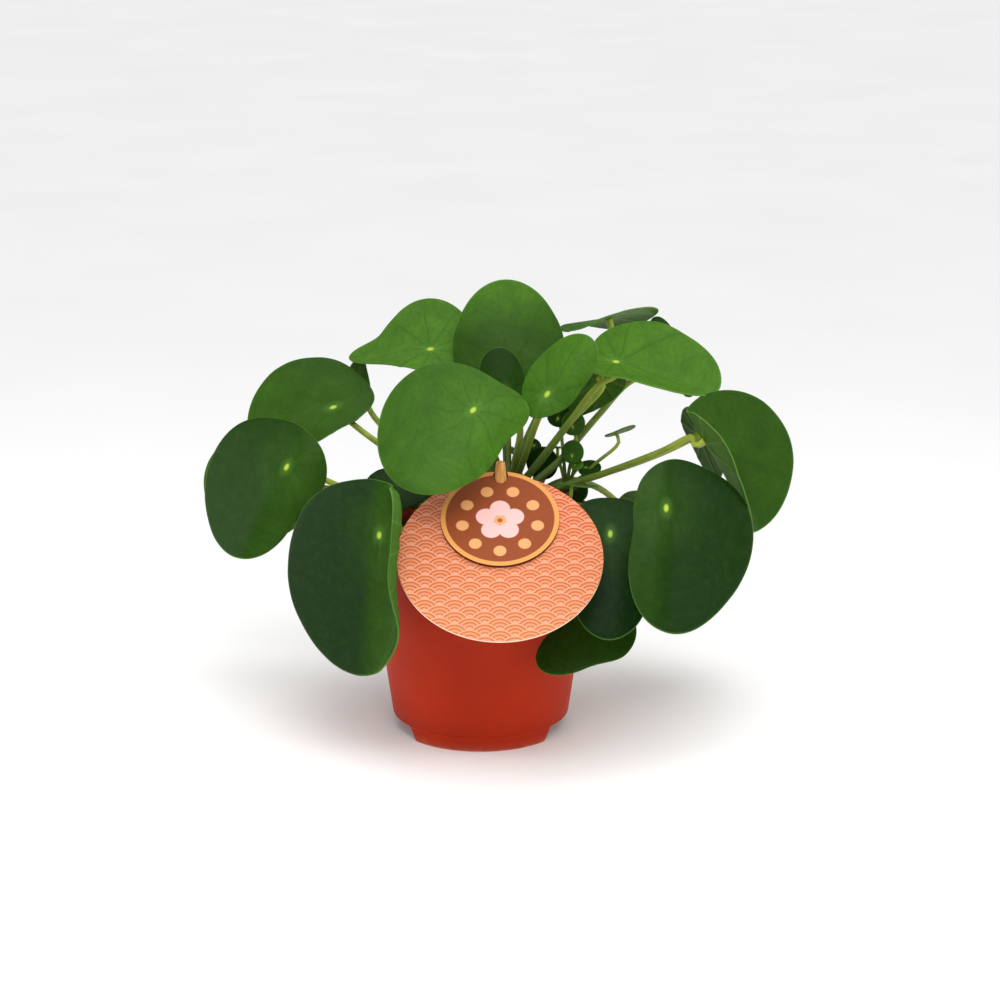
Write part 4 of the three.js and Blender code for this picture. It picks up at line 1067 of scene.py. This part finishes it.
def blossom_print_finish():
    """Offset print on coated card: warm brown, a golden border, pink petals, peach dots."""
    material, tree, shader, mm, skin = card_finish("offset_blossom_print", 0x8a3e17, 0x93461c,
                                                   uv="card")
    for ink, count, radius, away, turn in INKS:
        marks = None
        for i in range(count):
            at = (i + turn) * 2 * pi / count + pi / 2
            centre = (away * cos(at), away * sin(at) - BLOSSOM_DROP, 0)
            near = add_node(tree, "VectorMath", {0: mm, 1: centre}, operation="DISTANCE")
            mark = add_node(tree, "MapRange", {"Value": near, "From Min": radius + INK_EDGE,
                                               "From Max": radius - INK_EDGE})
            if marks:
                mark = add_node(tree, "Math", {0: marks, 1: mark}, operation="MAXIMUM")
            marks = mark
        skin = add_node(tree, "Mix", {"Factor": marks, "A": skin, "B": tint(ink)}, data_type="RGBA")
    far = add_node(tree, "VectorMath", {0: mm}, operation="LENGTH")
    border = add_node(tree, "MapRange", {"Value": far, "From Min": COIN_RADIUS - BORDER - 0.15,
                                         "From Max": COIN_RADIUS - BORDER + 0.15})
    add_node(tree, "Mix", {"Factor": border, "A": skin, "B": tint(0xe29a50)}, data_type="RGBA",
             to=shader.inputs["Base Color"])
    return material


# The coin disc's side: painted nearly black brown as a painted shadow of the dark gap under the
# disc.
painted_shadow_edge = card_finish("coin_edge_painted_shadow", 0x4a1a08, 0x5c260e)[0]
coin = make_piece("round_card_coin", lay_card(COIN_RADIUS, COIN_THICK, COIN_UP, COIN_LIFT),
                  [blossom_print_finish(), painted_shadow_edge])
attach(coin, "root")
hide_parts("coin_disc")


# ---- peg ----
# A turned stick of pale softwood, about as thick as a pencil, with a blunt tapered top. It goes
# through both discs and stands in the soil.
PEG_RADIUS = 3.3
PEG_TIP = 2.2
PEG_TOP = 147.5
PEG_TAPER = 11
PEG_LOW = 56
PEG_SIDES = 40


def wood_finish():
    """Pale pine, sanded and uncoated, with straight reddish grain lines along the stick."""
    material, tree, shader, place = new_finish("sanded_pine", Roughness=0.62)
    drawn = add_node(tree, "Mapping", {"Vector": place, "Scale": (1, 1, 0.06)})
    # Growth rings of about 1.3 mm, seen as streaks along the stick.
    grain = add_node(tree, "TexNoise", {"Vector": drawn, "Scale": 1 / (1.3 * MM), "Detail": 3})
    add_node(tree, "ValToRGB", {"Fac": grain}, to=shader.inputs["Base Color"],
             stops=[(0.32, 0xb0692a), (0.5, 0xd48f43), (0.68, 0xecb666)])
    add_node(tree, "Bump", {"Height": grain, "Strength": 0.35, "Distance": 0.15 * MM},
             to=shader.inputs["Normal"])
    return material


bm = bmesh.new()
shoulder = PEG_TOP - PEG_TAPER
shaft = [(PEG_RADIUS, z) for z in (PEG_LOW + 0.5, 80, 100, 120, shoulder - 2)]
taper = [(PEG_RADIUS - 0.05, shoulder), (PEG_RADIUS - 0.25, shoulder + 2), (2.75, shoulder + 5.5),
         (PEG_TIP + 0.15, PEG_TOP - 1), (PEG_TIP, PEG_TOP - 0.4), (PEG_TIP - 0.35, PEG_TOP)]
spun(bm, [(0, PEG_LOW), (PEG_RADIUS - 0.4, PEG_LOW), *shaft, *taper, (0, PEG_TOP)], PEG_SIDES)
bmesh.ops.translate(bm, vec=PEG_AT, verts=bm.verts)
peg = make_piece("wooden_peg", bm, [wood_finish()])
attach(peg, "root")
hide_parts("peg")
